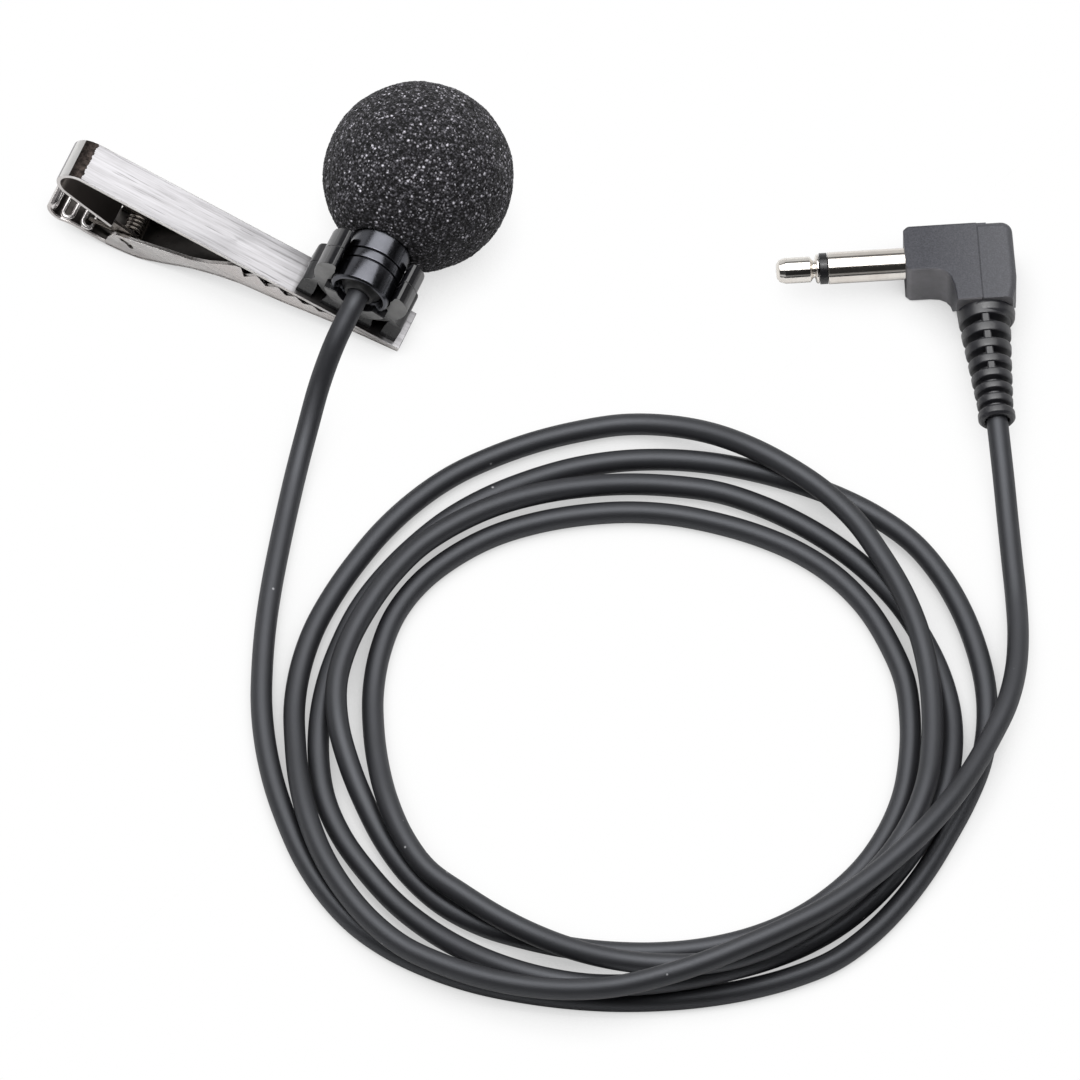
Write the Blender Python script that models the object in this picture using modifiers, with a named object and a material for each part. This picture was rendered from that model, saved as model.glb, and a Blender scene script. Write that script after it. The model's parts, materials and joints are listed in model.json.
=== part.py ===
"""Clip-on (lavalier) microphone with a foam ball, a sprung clip, a coiled cable and a right-angle
3.5 mm plug.

It lies on a flat surface at z = 0, Z up, centred on the origin in X and Y. Every mesh object is one
physical piece. The microphone and its clip share a frame whose Y is the barrel axis, with +Y to the
foam ball. The plug's frame has X as the plug's axis, with the tip towards -X. Sizes are in mm and
angles in degrees.
"""

import math

import bmesh
import bpy
from mathutils import Vector

MM = 0.001

# ---------------------------------------------------------------- driving dimensions
BARREL_AT = (-18.69, 27.60, 10.55)  # a point of the barrel axis, over the table
BARREL_HEADING = -23.5  # turn of the barrel axis away from +Y
CLIP_TILT = 16.0  # roll of the clip about the barrel axis

# along the barrel axis, front is +Y
FOAM_RADIUS = 10.5
FOAM_CENTRE = 13.4
BARREL_RADIUS = 3.4
BARREL_FRONT = 12.9
BARREL_REAR = -2.9
BARREL_EDGE = BARREL_RADIUS - 0.1  # radius at the small chamfers between the barrel's pieces
SLEEVE_BORE = 3.0
FOAM_BORE = BARREL_RADIUS + 0.1

CAN_RADIUS = 2.92
CAN_BORE = 2.72
STACK_RADIUS = 2.62  # pieces stacked inside the capsule can
STACK_RING_BORE = 2.2

CRADLE_RADIUS = 5.5
CRADLE_BORE = 3.46
CRADLE_BACK, CRADLE_FRONT = -2.3, 2.5
CRADLE_FOOT = -7.15
CRADLE_ARM_END = 14.0  # where the bore lets go of the barrel, degrees above the X axis

CLIP_WIDTH = 4.9
CLIP_MIDDLE = -0.3  # centre plane of the clip along the barrel axis
STRIP_TOP = -7.2
STRIP_THICKNESS = 0.5
STRIP_TIP = 6.96  # +X end of the strip and of the jaw
BEND_CENTRE = (-32.4, -9.65)
BEND_RADIUS = 2.2
RIVET_HOLE_RADIUS = 0.7
RIVET_HOLE_AT = (0, 0, -7.3)
PIN_AT = (-24.5, -15.6)  # (x, z)
PIN_RADIUS = 0.43
LUG_RADIUS = 1.25
LUG_THICKNESS = 0.4
LUG_SIDE = 1.65  # from the clip's centre plane to the middle of a lug
JAW_WALL = 0.45
COIL_WIRE = 0.225  # radius of the spring's wire
COIL_RADIUS = 1.0
COIL_TURNS = 4.5
COIL_STEPS = 12  # points to a turn
COIL_HALF = 1.1  # half the coil's length

CABLE_RADIUS = 1.18
CABLE_REST = 1.2  # height of the middle of a cable that lies on the table
CABLE_APART = 2.44  # least distance between the middles of two passes
RING_SPACING = 5.0  # length between the cable mesh's rings
CONDUCTOR_RADIUS = 0.22

PLUG_AT = (39.93, 33.03, 3.5)
PLUG_HEADING = 4.2
PLUG_RADIUS = 1.75
CONTACT_RADIUS = 0.55  # the tip contact's rod inside the insulators
INSULATOR_BORE = 0.62
PLUG_SLEEVE_BORE = 1.27
MOULD_HALF = 3.4  # half the overmould's height
RELIEF_AT = (8.2, -6.9, 0)  # root of the strain relief in the plug's frame
RELIEF_TURN = (90, 0, 1.8)  # own Z runs down the strain relief, away from the block
RELIEF_LENGTH = 13.9

# ---------------------------------------------------------------- looks
# colour, roughness, metallic
LOOKS = {
    "foam": ((0.075, 0.075, 0.085), 0.95, 0.0),
    "satin_black": ((0.035, 0.036, 0.042), 0.38, 0.0),
    "gloss_black": ((0.02, 0.02, 0.023), 0.14, 0.0),
    "nickel": ((0.74, 0.72, 0.69), 0.22, 1.0),
    "spring_steel": ((0.52, 0.50, 0.47), 0.30, 1.0),
    "mould_black": ((0.05, 0.052, 0.058), 0.55, 0.0),
    "cable_black": ((0.06, 0.061, 0.068), 0.45, 0.0),
    "insulator_black": ((0.03, 0.03, 0.033), 0.40, 0.0),
    "aluminium": ((0.66, 0.67, 0.69), 0.35, 1.0),
    "brass": ((0.78, 0.58, 0.28), 0.30, 1.0),
    "copper": ((0.80, 0.42, 0.26), 0.35, 1.0),
    "film": ((0.70, 0.70, 0.72), 0.20, 1.0),
    "board": ((0.05, 0.22, 0.10), 0.55, 0.0),
    "white_plastic": ((0.78, 0.78, 0.75), 0.50, 0.0),
    "felt": ((0.03, 0.03, 0.03), 0.95, 0.0),
}


def material(name):
    if name in bpy.data.materials:
        return bpy.data.materials[name]
    colour, roughness, metallic = LOOKS[name]
    made = bpy.data.materials.new(name)
    made.use_nodes = True
    shader = next(n for n in made.node_tree.nodes if n.type == "BSDF_PRINCIPLED")
    shader.inputs["Base Color"].default_value = (*colour, 1)
    shader.inputs["Roughness"].default_value = roughness
    shader.inputs["Metallic"].default_value = metallic
    return made


# ---------------------------------------------------------------- scene
for old in list(bpy.data.objects):
    bpy.data.objects.remove(old, do_unlink=True)

scene = bpy.context.scene
parts = bpy.data.collections.new("lavalier_microphone")
cutters = bpy.data.collections.new("cutters")
scene.collection.children.link(parts)
scene.collection.children.link(cutters)


# ---------------------------------------------------------------- placing
def pose(obj, parent, at, turn):
    obj.parent = parent
    obj.location = [v * MM for v in at]
    obj.rotation_euler = [math.radians(v) for v in turn]
    return obj


def empty(name, at=(0, 0, 0), turn=(0, 0, 0), parent=None):
    made = bpy.data.objects.new(name, None)
    parts.objects.link(made)
    return pose(made, parent, at, turn)


def place(name, mesh, look, parent, at, turn):
    """An object in its parent's frame. No look makes it a helper for a boolean."""
    obj = bpy.data.objects.new(name, mesh)
    if look is None:
        cutters.objects.link(obj)
        obj.hide_render = True
        obj.display_type = "WIRE"
    else:
        parts.objects.link(obj)
        mesh.materials.clear()
        mesh.materials.append(material(look))
    return pose(obj, parent, at, turn)


def mesh_from(work, name):
    mesh = bpy.data.meshes.new(name)
    work.to_mesh(mesh)
    work.free()
    return mesh


def evaluated_mesh(obj):
    bpy.context.view_layer.update()
    graph = bpy.context.evaluated_depsgraph_get()
    return bpy.data.meshes.new_from_object(obj.evaluated_get(graph))


# ---------------------------------------------------------------- solids
def clockwise(points):
    area = sum(a[0] * b[1] - b[0] * a[1] for a, b in zip(points, points[1:] + points[:1]))
    return points if area < 0 else points[::-1]


def turned(name, profile, look, parent, at=(0, 0, 0), turn=(0, 0, 0), steps=24):
    """A piece turned about its own Z from (radius, z) points.

    Ends on the axis leave it solid, else the profile closes into a ring.
    """
    ring = min(radius for radius, _ in profile) > 1e-6
    if ring:
        points = clockwise(profile)
    else:
        points = profile[::-1] if profile[0][1] < profile[-1][1] else profile
    work = bmesh.new()
    verts = [work.verts.new((radius * MM, 0, z * MM)) for radius, z in points]
    for pair in zip(verts, verts[1:]):
        work.edges.new(pair)
    if ring:
        work.edges.new((verts[-1], verts[0]))
    obj = place(name, mesh_from(work, name), look, parent, at, turn)
    screw = obj.modifiers.new("turn", "SCREW")
    screw.axis = "Z"
    screw.angle = math.radians(360)
    screw.steps = screw.render_steps = steps
    screw.use_merge_vertices = True
    screw.merge_threshold = 0.00001
    screw.use_normal_calculate = False
    return obj


def from_curve(name, curve, points, closed, look, parent, at, turn):
    """The closed mesh of a curve through the points, its faces turned outward."""
    spline = curve.splines.new("POLY")
    spline.points.add(len(points) - 1)
    for point, (x, y, z) in zip(spline.points, points):
        point.co = (x * MM, y * MM, z * MM, 1)
    spline.use_cyclic_u = closed
    curve_object = bpy.data.objects.new(name + "_curve", curve)
    scene.collection.objects.link(curve_object)
    mesh = evaluated_mesh(curve_object)
    bpy.data.objects.remove(curve_object, do_unlink=True)
    mesh.name = name

    work = bmesh.new()
    work.from_mesh(mesh)
    bmesh.ops.remove_doubles(work, verts=work.verts, dist=2e-7)  # joins the caps to the walls
    bmesh.ops.recalc_face_normals(work, faces=work.faces)
    if work.calc_volume(signed=True) < 0:
        bmesh.ops.reverse_faces(work, faces=work.faces)
    work.to_mesh(mesh)
    work.free()
    return place(name, mesh, look, parent, at, turn)


def flat(name, outline, thickness, look, parent, at=(0, 0, 0), turn=(0, 0, 0)):
    """A flat outline in XY given a thickness along Z about the object's origin."""
    curve = bpy.data.curves.new(name, "CURVE")
    curve.dimensions = "2D"
    curve.fill_mode = "BOTH"
    curve.extrude = thickness / 2 * MM
    points = [(x, y, 0) for x, y in outline]
    return from_curve(name, curve, points, True, look, parent, at, turn)


def wire(name, path, radius, look, parent, resolution=1):
    curve = bpy.data.curves.new(name, "CURVE")
    curve.dimensions = "3D"
    curve.bevel_depth = radius * MM
    curve.bevel_resolution = resolution
    curve.use_fill_caps = True
    return from_curve(name, curve, path, False, look, parent, (0, 0, 0), (0, 0, 0))


def box(name, size, look, parent, at=(0, 0, 0)):
    work = bmesh.new()
    bmesh.ops.create_cube(work, size=MM)
    bmesh.ops.scale(work, vec=size, verts=work.verts)
    return place(name, mesh_from(work, name), look, parent, at, (0, 0, 0))


def rod(name, radius, length, look, parent, at=(0, 0, 0), turn=(0, 0, 0), sides=20):
    work = bmesh.new()
    bmesh.ops.create_cone(
        work, cap_ends=True, segments=sides,
        radius1=radius * MM, radius2=radius * MM, depth=length * MM,
    )
    return place(name, mesh_from(work, name), look, parent, at, turn)


def combine(obj, other, how="DIFFERENCE"):
    made = obj.modifiers.new(how.lower(), "BOOLEAN")
    made.operation = how
    made.solver = "EXACT"
    made.object = other


# ---------------------------------------------------------------- lines
def arc(centre, radius, start, stop, count):
    made = []
    for i in range(count + 1):
        angle = math.radians(start + (stop - start) * i / count)
        x = centre[0] + radius * math.cos(angle)
        made.append((x, centre[1] + radius * math.sin(angle)))
    return made


def offset(path, by):
    """The open path moved sideways, to its left for a positive distance."""
    legs = [(Vector(b) - Vector(a)).normalized() for a, b in zip(path, path[1:])]
    made = []
    for point, before, after in zip(path, legs[:1] + legs, legs + legs[-1:]):
        here = Vector(point)
        way = (before + after).normalized()
        reach = by / max(0.5, way.dot(after))
        made.append((here.x - way.y * reach, here.y + way.x * reach))
    return made


def band(path, thickness):
    return offset(path, thickness / 2) + offset(path, -thickness / 2)[::-1]


def catmull_rom(before, start, end, after, t):
    return 0.5 * (
        2 * start
        + (end - before) * t
        + (2 * before - 5 * start + 4 * end - after) * t * t
        + (3 * start - before - 3 * end + after) * t**3
    )


def smooth_curve(points, step, fineness=12):
    """Even samples of the Catmull-Rom curve through the points."""

    def beyond(end, inner):
        return tuple(2 * a - b for a, b in zip(end, inner))

    knots = [beyond(points[0], points[1]), *points, beyond(points[-1], points[-2])]
    fine = []
    for span in zip(knots, knots[1:], knots[2:], knots[3:]):
        for i in range(fineness):
            fine.append(tuple(catmull_rom(*values, i / fineness) for values in zip(*span)))
    fine.append(tuple(points[-1]))
    return resample(fine, step)


def resample(path, step):
    run = [0.0]
    for a, b in zip(path, path[1:]):
        run.append(run[-1] + math.dist(a, b))
    count = max(1, round(run[-1] / step))
    made = []
    k = 0
    for i in range(count + 1):
        along = run[-1] * i / count
        while k < len(run) - 2 and run[k + 1] < along:
            k += 1
        t = (along - run[k]) / max(1e-9, run[k + 1] - run[k])
        made.append(tuple(a + (b - a) * t for a, b in zip(path[k], path[k + 1])))
    return made


# ---------------------------------------------------------------- frames
datum = empty("datum")
mic = empty("mic_frame", BARREL_AT, (0, CLIP_TILT, BARREL_HEADING), datum)
pivot = empty("jaw_frame", (PIN_AT[0], CLIP_MIDDLE, PIN_AT[1]), parent=mic)
plug = empty("plug_frame", PLUG_AT, (0, 0, PLUG_HEADING), datum)

ALONG_BARREL = (-90, 0, 0)  # own Z along the barrel axis
ACROSS_CLIP = (90, 0, 0)  # an outline's XY becomes the frame's XZ
ALONG_PLUG = (0, 90, 0)  # own Z along the plug axis

# ---------------------------------------------------------------- foam ball
mouth_angle = -math.degrees(math.acos(FOAM_BORE / FOAM_RADIUS))
turned(
    "foam_windscreen",
    [(0, FOAM_CENTRE + FOAM_RADIUS)]
    + arc((0, FOAM_CENTRE), FOAM_RADIUS, 90, mouth_angle, 13)[1:]
    + [(FOAM_BORE, BARREL_FRONT + 0.3), (0, BARREL_FRONT + 0.3)],
    "foam", mic, turn=ALONG_BARREL, steps=28,
)


# ---------------------------------------------------------------- barrel and capsule
def stack_ring(front, back):
    return [
        (STACK_RADIUS, front), (STACK_RADIUS, back), (STACK_RING_BORE, back), (STACK_RING_BORE, front),
    ]


# name, look, steps, profile of (radius, along the barrel)
BARREL_RINGS = (
    ("mic_front_sleeve", "satin_black", 24, [
        (BARREL_RADIUS - 0.25, BARREL_FRONT), (BARREL_RADIUS, BARREL_FRONT - 0.25),
        (BARREL_RADIUS, 1.35), (BARREL_EDGE, 1.25), (SLEEVE_BORE, 1.25), (SLEEVE_BORE, BARREL_FRONT),
    ]),
    ("trim_ring", "satin_black", 24, [
        (BARREL_EDGE, 1.15), (BARREL_RADIUS, 1.05), (BARREL_RADIUS, 0.05), (BARREL_EDGE, -0.05),
        (SLEEVE_BORE, -0.05), (SLEEVE_BORE, 1.15),
    ]),
    ("rear_shell", "satin_black", 24, [
        (2.95, 3.0), (2.95, -0.15), (BARREL_EDGE, -0.15), (BARREL_RADIUS, -0.25),
        (BARREL_RADIUS, BARREL_REAR + 0.35), (BARREL_RADIUS - 0.35, BARREL_REAR),
        (2.35, BARREL_REAR), (2.35, BARREL_REAR + 1.1), (2.6, BARREL_REAR + 1.1), (2.6, 3.0),
    ]),
    ("cable_grommet", "insulator_black", 20, [
        (2.1, BARREL_REAR - 0.1), (2.3, BARREL_REAR + 0.1), (2.3, BARREL_REAR + 1.35),
        (1.24, BARREL_REAR + 1.35), (1.24, BARREL_REAR - 0.1),
    ]),
    ("capsule_can", "aluminium", 24, [
        (0.5, 12.1), (2.75, 12.1), (CAN_RADIUS, 11.95), (CAN_RADIUS, 8.0), (CAN_BORE, 8.0),
        (CAN_BORE, 11.8), (0.5, 11.8),
    ]),
    ("spacer_ring", "white_plastic", 24, stack_ring(11.55, 11.35)),
    ("plate_holder", "white_plastic", 24, stack_ring(10.65, 8.75)),
)
for name, look, steps, profile in BARREL_RINGS:
    turned(name, profile, look, mic, turn=ALONG_BARREL, steps=steps)

# name, look, radius, thickness, middle along the barrel
BARREL_DISCS = (
    ("front_grille", "aluminium", 2.93, 0.25, 12.7),
    ("dust_felt", "felt", 2.9, 0.3, 12.36),
    ("diaphragm", "film", STACK_RADIUS, 0.1, 11.68),
    ("back_plate", "brass", 2.6, 0.55, 11.0),
    ("capsule_board", "board", STACK_RADIUS, 0.4, 8.4),
)
discs = {
    name: rod(name, radius, thickness, look, mic, (0, y, 0), ALONG_BARREL, 28)
    for name, look, radius, thickness, y in BARREL_DISCS
}
# disc, hole name, hole radius, cutter length, along the barrel, hole centres (x, z)
DISC_HOLES = (
    ("front_grille", "grille_hole", 0.45, 1.0, 12.7, arc((0, 0), 1.55, 0, 300, 5) + [(0, 0)]),
    ("back_plate", "back_plate_hole", 0.35, 2.0, 11.0, arc((0, 0), 1.3, 45, 315, 3)),
)
for disc, name, radius, length, y, centres in DISC_HOLES:
    for i, (x, z) in enumerate(centres):
        hole = rod(f"{name}_{i}", radius, length, None, mic, (x, y, z), ALONG_BARREL, 8)
        combine(discs[disc], hole)

box("jfet", (1.7, 0.8, 1.2), "insulator_black", mic, (0, 9.1, 0))
for name, side in (("mic_signal_wire", 1), ("mic_shield_wire", -1)):
    path = [
        (0.45 * side, -1.3, 0), (0.5 * side, -0.4, 0), (1.1 * side, 2.2, 0.5),
        (1.0 * side, 5.2, -0.4 * side), (1.3 * side, 7.4, 0), (1.3 * side, 8.1, 0),
    ]
    wire(name, smooth_curve(path, 1.1), CONDUCTOR_RADIUS, "copper", mic)

# ---------------------------------------------------------------- cradle round the barrel
neck_angle = -math.degrees(math.acos(3.1 / CRADLE_RADIUS))
wall_angle = -math.degrees(math.acos(4.4 / CRADLE_RADIUS))
# the +X half, (x, z): middle foot, side leg, arm, rounded arm end, then back down the bore
half = (
    [(3.1, CRADLE_FOOT)]
    + arc((0, 0), CRADLE_RADIUS, neck_angle, wall_angle, 3)
    + [(4.3, -3.8), (4.25, CRADLE_FOOT), (6.2, CRADLE_FOOT), (6.2, -4.3), (5.75, -3.45)]
    + [(5.15, -2.6)]
    + arc((0, 0), CRADLE_RADIUS, -20, 2, 2)
    + [(5.45, 0.95), (4.9, 1.75), (4.2, 2.2), (3.75, 2.1), (3.55, 1.65)]
    + arc((0, 0), CRADLE_BORE, CRADLE_ARM_END, -18, 2)
    + arc((0, 0), 4.0, -24, -62, 4)  # relieved part of the bore
    + arc((0, 0), CRADLE_BORE, -68, -90, 2)
)
cradle = flat(
    "mic_holder", half + [(-x, z) for x, z in half[:-1][::-1]], CRADLE_FRONT - CRADLE_BACK,
    "gloss_black", mic, (0, (CRADLE_FRONT + CRADLE_BACK) / 2, 0), ACROSS_CLIP,
)
combine(cradle, rod("rivet_hole", RIVET_HOLE_RADIUS, 4.0, None, mic, RIVET_HOLE_AT))
turned(
    "holder_rivet",
    [(0, -5.4), (0.45, -5.4), (0.62, -5.6), (0.62, -7.38), (0.9, -7.42), (0.9, -7.66), (0, -7.66)],
    "spring_steel", mic, steps=20,
)

# ---------------------------------------------------------------- upper arm
# (x, z): the strip, the bend at its -X end and the return to the pin
arm_line = (
    [(STRIP_TIP, STRIP_TOP - STRIP_THICKNESS / 2)]
    + arc(BEND_CENTRE, BEND_RADIUS, 90, 240, 12)
    + [(-31.0, -12.42), (-28.9, -13.08), (-27.0, -13.68)]
)
arm = flat(
    "upper_arm", band(arm_line, STRIP_THICKNESS), CLIP_WIDTH,
    "nickel", mic, (0, CLIP_MIDDLE, 0), ACROSS_CLIP,
)
lug = [(-27.9, -13.3), (-25.6, -13.9)] + arc(PIN_AT, LUG_RADIUS, 60, -170, 12) + [(-27.3, -14.2)]
for i, side in enumerate((-1, 1)):
    at = (0, CLIP_MIDDLE + side * LUG_SIDE, 0)
    combine(arm, flat(f"lug_{i}", lug, LUG_THICKNESS, None, mic, at, ACROSS_CLIP), "UNION")
combine(arm, rod("lug_bore", 0.52, 8, None, pivot, turn=ALONG_BARREL))
combine(arm, rod("strip_hole", RIVET_HOLE_RADIUS, 3.0, None, mic, RIVET_HOLE_AT))
combine(arm, rod("strip_counterbore", 0.98, 1.0, None, mic, (0, 0, -7.88)))

# ---------------------------------------------------------------- pin and spring
pin_half = [(0, 2.74), (0.6, 2.74), (0.75, 2.64), (0.75, 2.5), (PIN_RADIUS, 2.5)]
turned(
    "hinge_pin", pin_half + [(radius, -z) for radius, z in pin_half[::-1]],
    "spring_steel", pivot, turn=ALONG_BARREL, steps=20,
)
coil_count = round(COIL_TURNS * COIL_STEPS)
coil = []
for i in range(coil_count + 1):
    angle = math.radians(90 - 360 / COIL_STEPS * i)
    y = COIL_HALF - 2 * COIL_HALF * i / coil_count
    coil.append((COIL_RADIUS * math.cos(angle), y, COIL_RADIUS * math.sin(angle)))
leg_to_arm = [(-6.0, COIL_HALF, 2.33), (-3.2, COIL_HALF, 1.5), (-1.4, COIL_HALF, 0.98)]
leg_to_jaw = [(-1.4, -COIL_HALF, -1.03), (-4.9, -COIL_HALF, -1.46)]
wire("torsion_spring", leg_to_arm + coil + leg_to_jaw, COIL_WIRE, "spring_steel", pivot)

# ---------------------------------------------------------------- lower jaw, (x, z) in the mic frame
under_side = [
    (STRIP_TIP, -7.98), (-0.87, -9.14), (-6.8, -10.5), (-11.6, -11.3), (-14.3, -12.25),
    (-17.2, -13.7), (-20.0, -15.7), (-22.8, -17.4), (-26.5, -18.0), (-30.6, -17.85),
    (-32.4, -18.2), (-33.6, -17.7), (-34.2, -16.6), (-34.1, -15.6),
]
JAW_FLOOR_LAST = 8  # last point of the under side below the trough
inner_side = offset(under_side, -JAW_WALL)
floor_end_z = inner_side[JAW_FLOOR_LAST][1]
cheek_top = [
    (-26.75, floor_end_z), (-26.7, -16.2), (-26.35, -15.25), (-26.0, -15.0), (-23.7, -14.2),
    (-20.8, -13.06), (-17.7, -11.9), (-15.8, -10.56), (-14.1, -8.9),
]
teeth = [
    (-13.2, -8.15), (-12.5, -7.9), (-11.7, -9.45), (-10.5, -7.85), (-9.1, -9.0), (-7.9, -7.83),
    (-6.7, -8.7), (-5.7, -7.83), (-4.6, -8.45), (-3.6, -7.83), (-2.6, -8.3), (-1.8, -7.83),
    (STRIP_TIP, -7.80),
]
trough = (
    [(1.6, -8.3)]
    + inner_side[1 : JAW_FLOOR_LAST + 1]
    + [(-27.6, floor_end_z + 0.02), (-27.6, -5.0), (1.6, -5.0)]
)


def jaw_plate(name, outline, width, look):
    """An outline given a width across the clip, with its origin at the pin."""
    from_pin = [(x - PIN_AT[0], z - PIN_AT[1]) for x, z in outline]
    return flat(name, from_pin, width, look, pivot, turn=ACROSS_CLIP)


jaw_outline = under_side + inner_side[:JAW_FLOOR_LAST:-1] + cheek_top + teeth
jaw = jaw_plate("lower_jaw", jaw_outline, CLIP_WIDTH, "nickel")
combine(jaw, jaw_plate("trough", trough, CLIP_WIDTH - 2 * JAW_WALL, None))
combine(jaw, rod("jaw_bore", 0.5, 8, None, pivot, turn=ALONG_BARREL))

# ---------------------------------------------------------------- plug contacts and insulators
# name, look, profile of (radius, along the plug)
PLUG_TURNINGS = (
    ("plug_tip", "nickel", [
        (0, -14.1), (0.7, -14.05), (1.15, -13.8), (1.42, -13.3), (1.42, -10.3), (1.0, -10.1),
        (1.0, -9.8), (1.5, -9.7), (1.6, -9.62), (1.6, -9.38), (CONTACT_RADIUS, -9.38),
        (CONTACT_RADIUS, 3.0), (0, 3.0),
    ]),
    ("tip_insulator", "insulator_black", [
        (INSULATOR_BORE, -9.3), (1.72, -9.3), (1.72, -8.45), (1.2, -8.45), (1.2, 1.5),
        (INSULATOR_BORE, 1.5),
    ]),
    ("plug_sleeve", "nickel", [
        (PLUG_SLEEVE_BORE, -8.38), (PLUG_RADIUS, -8.38), (PLUG_RADIUS, 0.35), (2.4, 0.35),
        (2.4, 1.2), (PLUG_SLEEVE_BORE, 1.2),
    ]),
    ("rear_insulator", "insulator_black", [
        (INSULATOR_BORE, 2.15), (1.6, 2.15), (1.6, 1.6), (INSULATOR_BORE, 1.6),
    ]),
)
for name, look, profile in PLUG_TURNINGS:
    turned(name, profile, look, plug, turn=ALONG_PLUG)

tip_tab = box("tip_terminal", (0.35, 1.6, 2.7), "brass", plug, (2.5, 0.2, 0.55))
combine(tip_tab, rod("tip_tab_hole", 0.6, 2, None, plug, (2.5, 0, 0), ALONG_PLUG, 16))
box("ground_terminal", (2.95, 0.5, 1.6), "brass", plug, (2.75, -2.0, 0))

# ---------------------------------------------------------------- plug body: block and strain relief
BLOCK = (  # (x, y)
    [(4.4, 2.85), (10.75, 2.85)] + arc((10.75, 1.6), 1.25, 90, 0, 4)
    + [(12.05, -4.0), (11.85, -5.6), (11.45, -6.9), (4.95, -6.9), (4.75, -5.5), (4.2, -4.1)]
    + [(3.2, -3.2), (2.0, -2.85), (0.5, -2.85), (0.0, -2.35), (0.0, 2.35), (0.5, 2.85)]
)
ROOM = [  # (x, y)
    (2.6, -2.35), (3.4, -2.5), (4.2, -2.9), (5.0, -3.6), (5.45, -4.5), (5.6, -5.3), (9.8, -5.3),
    (9.8, 1.9), (2.6, 1.9),
]
SEAT = [(0, -1.0), (1.82, -1.0), (1.82, 0.28), (2.5, 0.28), (2.5, 3.2), (0, 3.2)]  # (radius, x)
RELIEF_TAPER = (  # (from the block, radius)
    (-3.0, 3.0), (0, 2.98), (3.8, 2.68), (6.3, 2.45), (9.5, 2.2), (11.8, 2.0), (12.8, 1.94),
)
SLOTS = (  # (from the block, long)
    (1.66, 0.85), (3.74, 0.78), (5.69, 0.75), (7.5, 0.68), (9.2, 0.58), (10.7, 0.54), (12.2, 0.5),
)
SLOT_DEPTH = 0.75
SLOT_FLOOR_LEAST = 1.58  # least radius at the bottom of a slot
SLOT_FLARE = 0.04  # how far each slot wall leans


def relief_radius(along):
    """Radius of the strain relief at a distance from the block."""
    for (start, first), (stop, last) in zip(RELIEF_TAPER, RELIEF_TAPER[1:]):
        if along <= stop:
            return first + (last - first) * (along - start) / (stop - start)
    return RELIEF_TAPER[-1][1]


ribs_profile = [(0, -3.0), (relief_radius(-3.0), -3.0)]
for start, long in SLOTS:
    stop = start + long
    floor = max(SLOT_FLOOR_LEAST, relief_radius(stop) - SLOT_DEPTH)
    ribs_profile += [
        (relief_radius(start), start), (floor, start + SLOT_FLARE),
        (floor, stop - SLOT_FLARE), (relief_radius(stop), stop),
    ]
ribs_profile += [
    (2.03, 12.95), (2.03, RELIEF_LENGTH - 0.25), (1.85, RELIEF_LENGTH), (0, RELIEF_LENGTH),
]
# the spine bridges the slots nearest the block, just under the ribs' surface
SPINE_START, SPINE_STOP = -2.6, 8.7
SPINE_INSET = 0.97
spine_profile = [
    (0, SPINE_START), (relief_radius(SPINE_START) * SPINE_INSET, SPINE_START),
    (relief_radius(SPINE_STOP) * SPINE_INSET, SPINE_STOP), (0, SPINE_STOP),
]

mould = flat("plug_overmould", BLOCK, 2 * MOULD_HALF, "mould_black", plug)
edges = mould.modifiers.new("edges", "BEVEL")
edges.width = 0.5 * MM
edges.segments = 1
edges.limit_method = "ANGLE"
edges.angle_limit = math.radians(50)
edges.harden_normals = False

# the block's lower corner is cut back to the round root of the strain relief
corner_frame = empty("corner_at", (RELIEF_AT[0], RELIEF_AT[1], 1.0), (119.6, 0, 0), plug)
combine(mould, box("corner", (20, 12, 6), None, corner_frame, (0, 0, 3)))

relief = empty("spine_slab_at", RELIEF_AT, RELIEF_TURN, plug)
ribs = turned("relief_ribs", ribs_profile, None, plug, RELIEF_AT, RELIEF_TURN, 16)
spine = turned("relief_spine", spine_profile, None, plug, RELIEF_AT, RELIEF_TURN, 16)
combine(spine, box("spine_slab", (0.95, 30, 40), None, relief), "INTERSECT")
combine(mould, ribs, "UNION")
combine(mould, spine, "UNION")
# the plug's seat, the room behind it, and the cable's way out
combine(mould, turned("seat", SEAT, None, plug, turn=ALONG_PLUG))
combine(mould, flat("room", ROOM, 4.2, None, plug, (0, 0, 0.4)))
combine(mould, rod("way_out", 1.42, 24.0, None, relief, (0, 0, 3.0), sides=16))

# ---------------------------------------------------------------- cable
# The run is described in a lay plane that contains X and leans: its normal ("out") is this far over
# the table, towards -Y. A point's place out of the plane follows from its height over the table.
NORMAL_RISE = math.radians(60.0)
SIN, COS = math.sin(NORMAL_RISE), math.cos(NORMAL_RISE)

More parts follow.
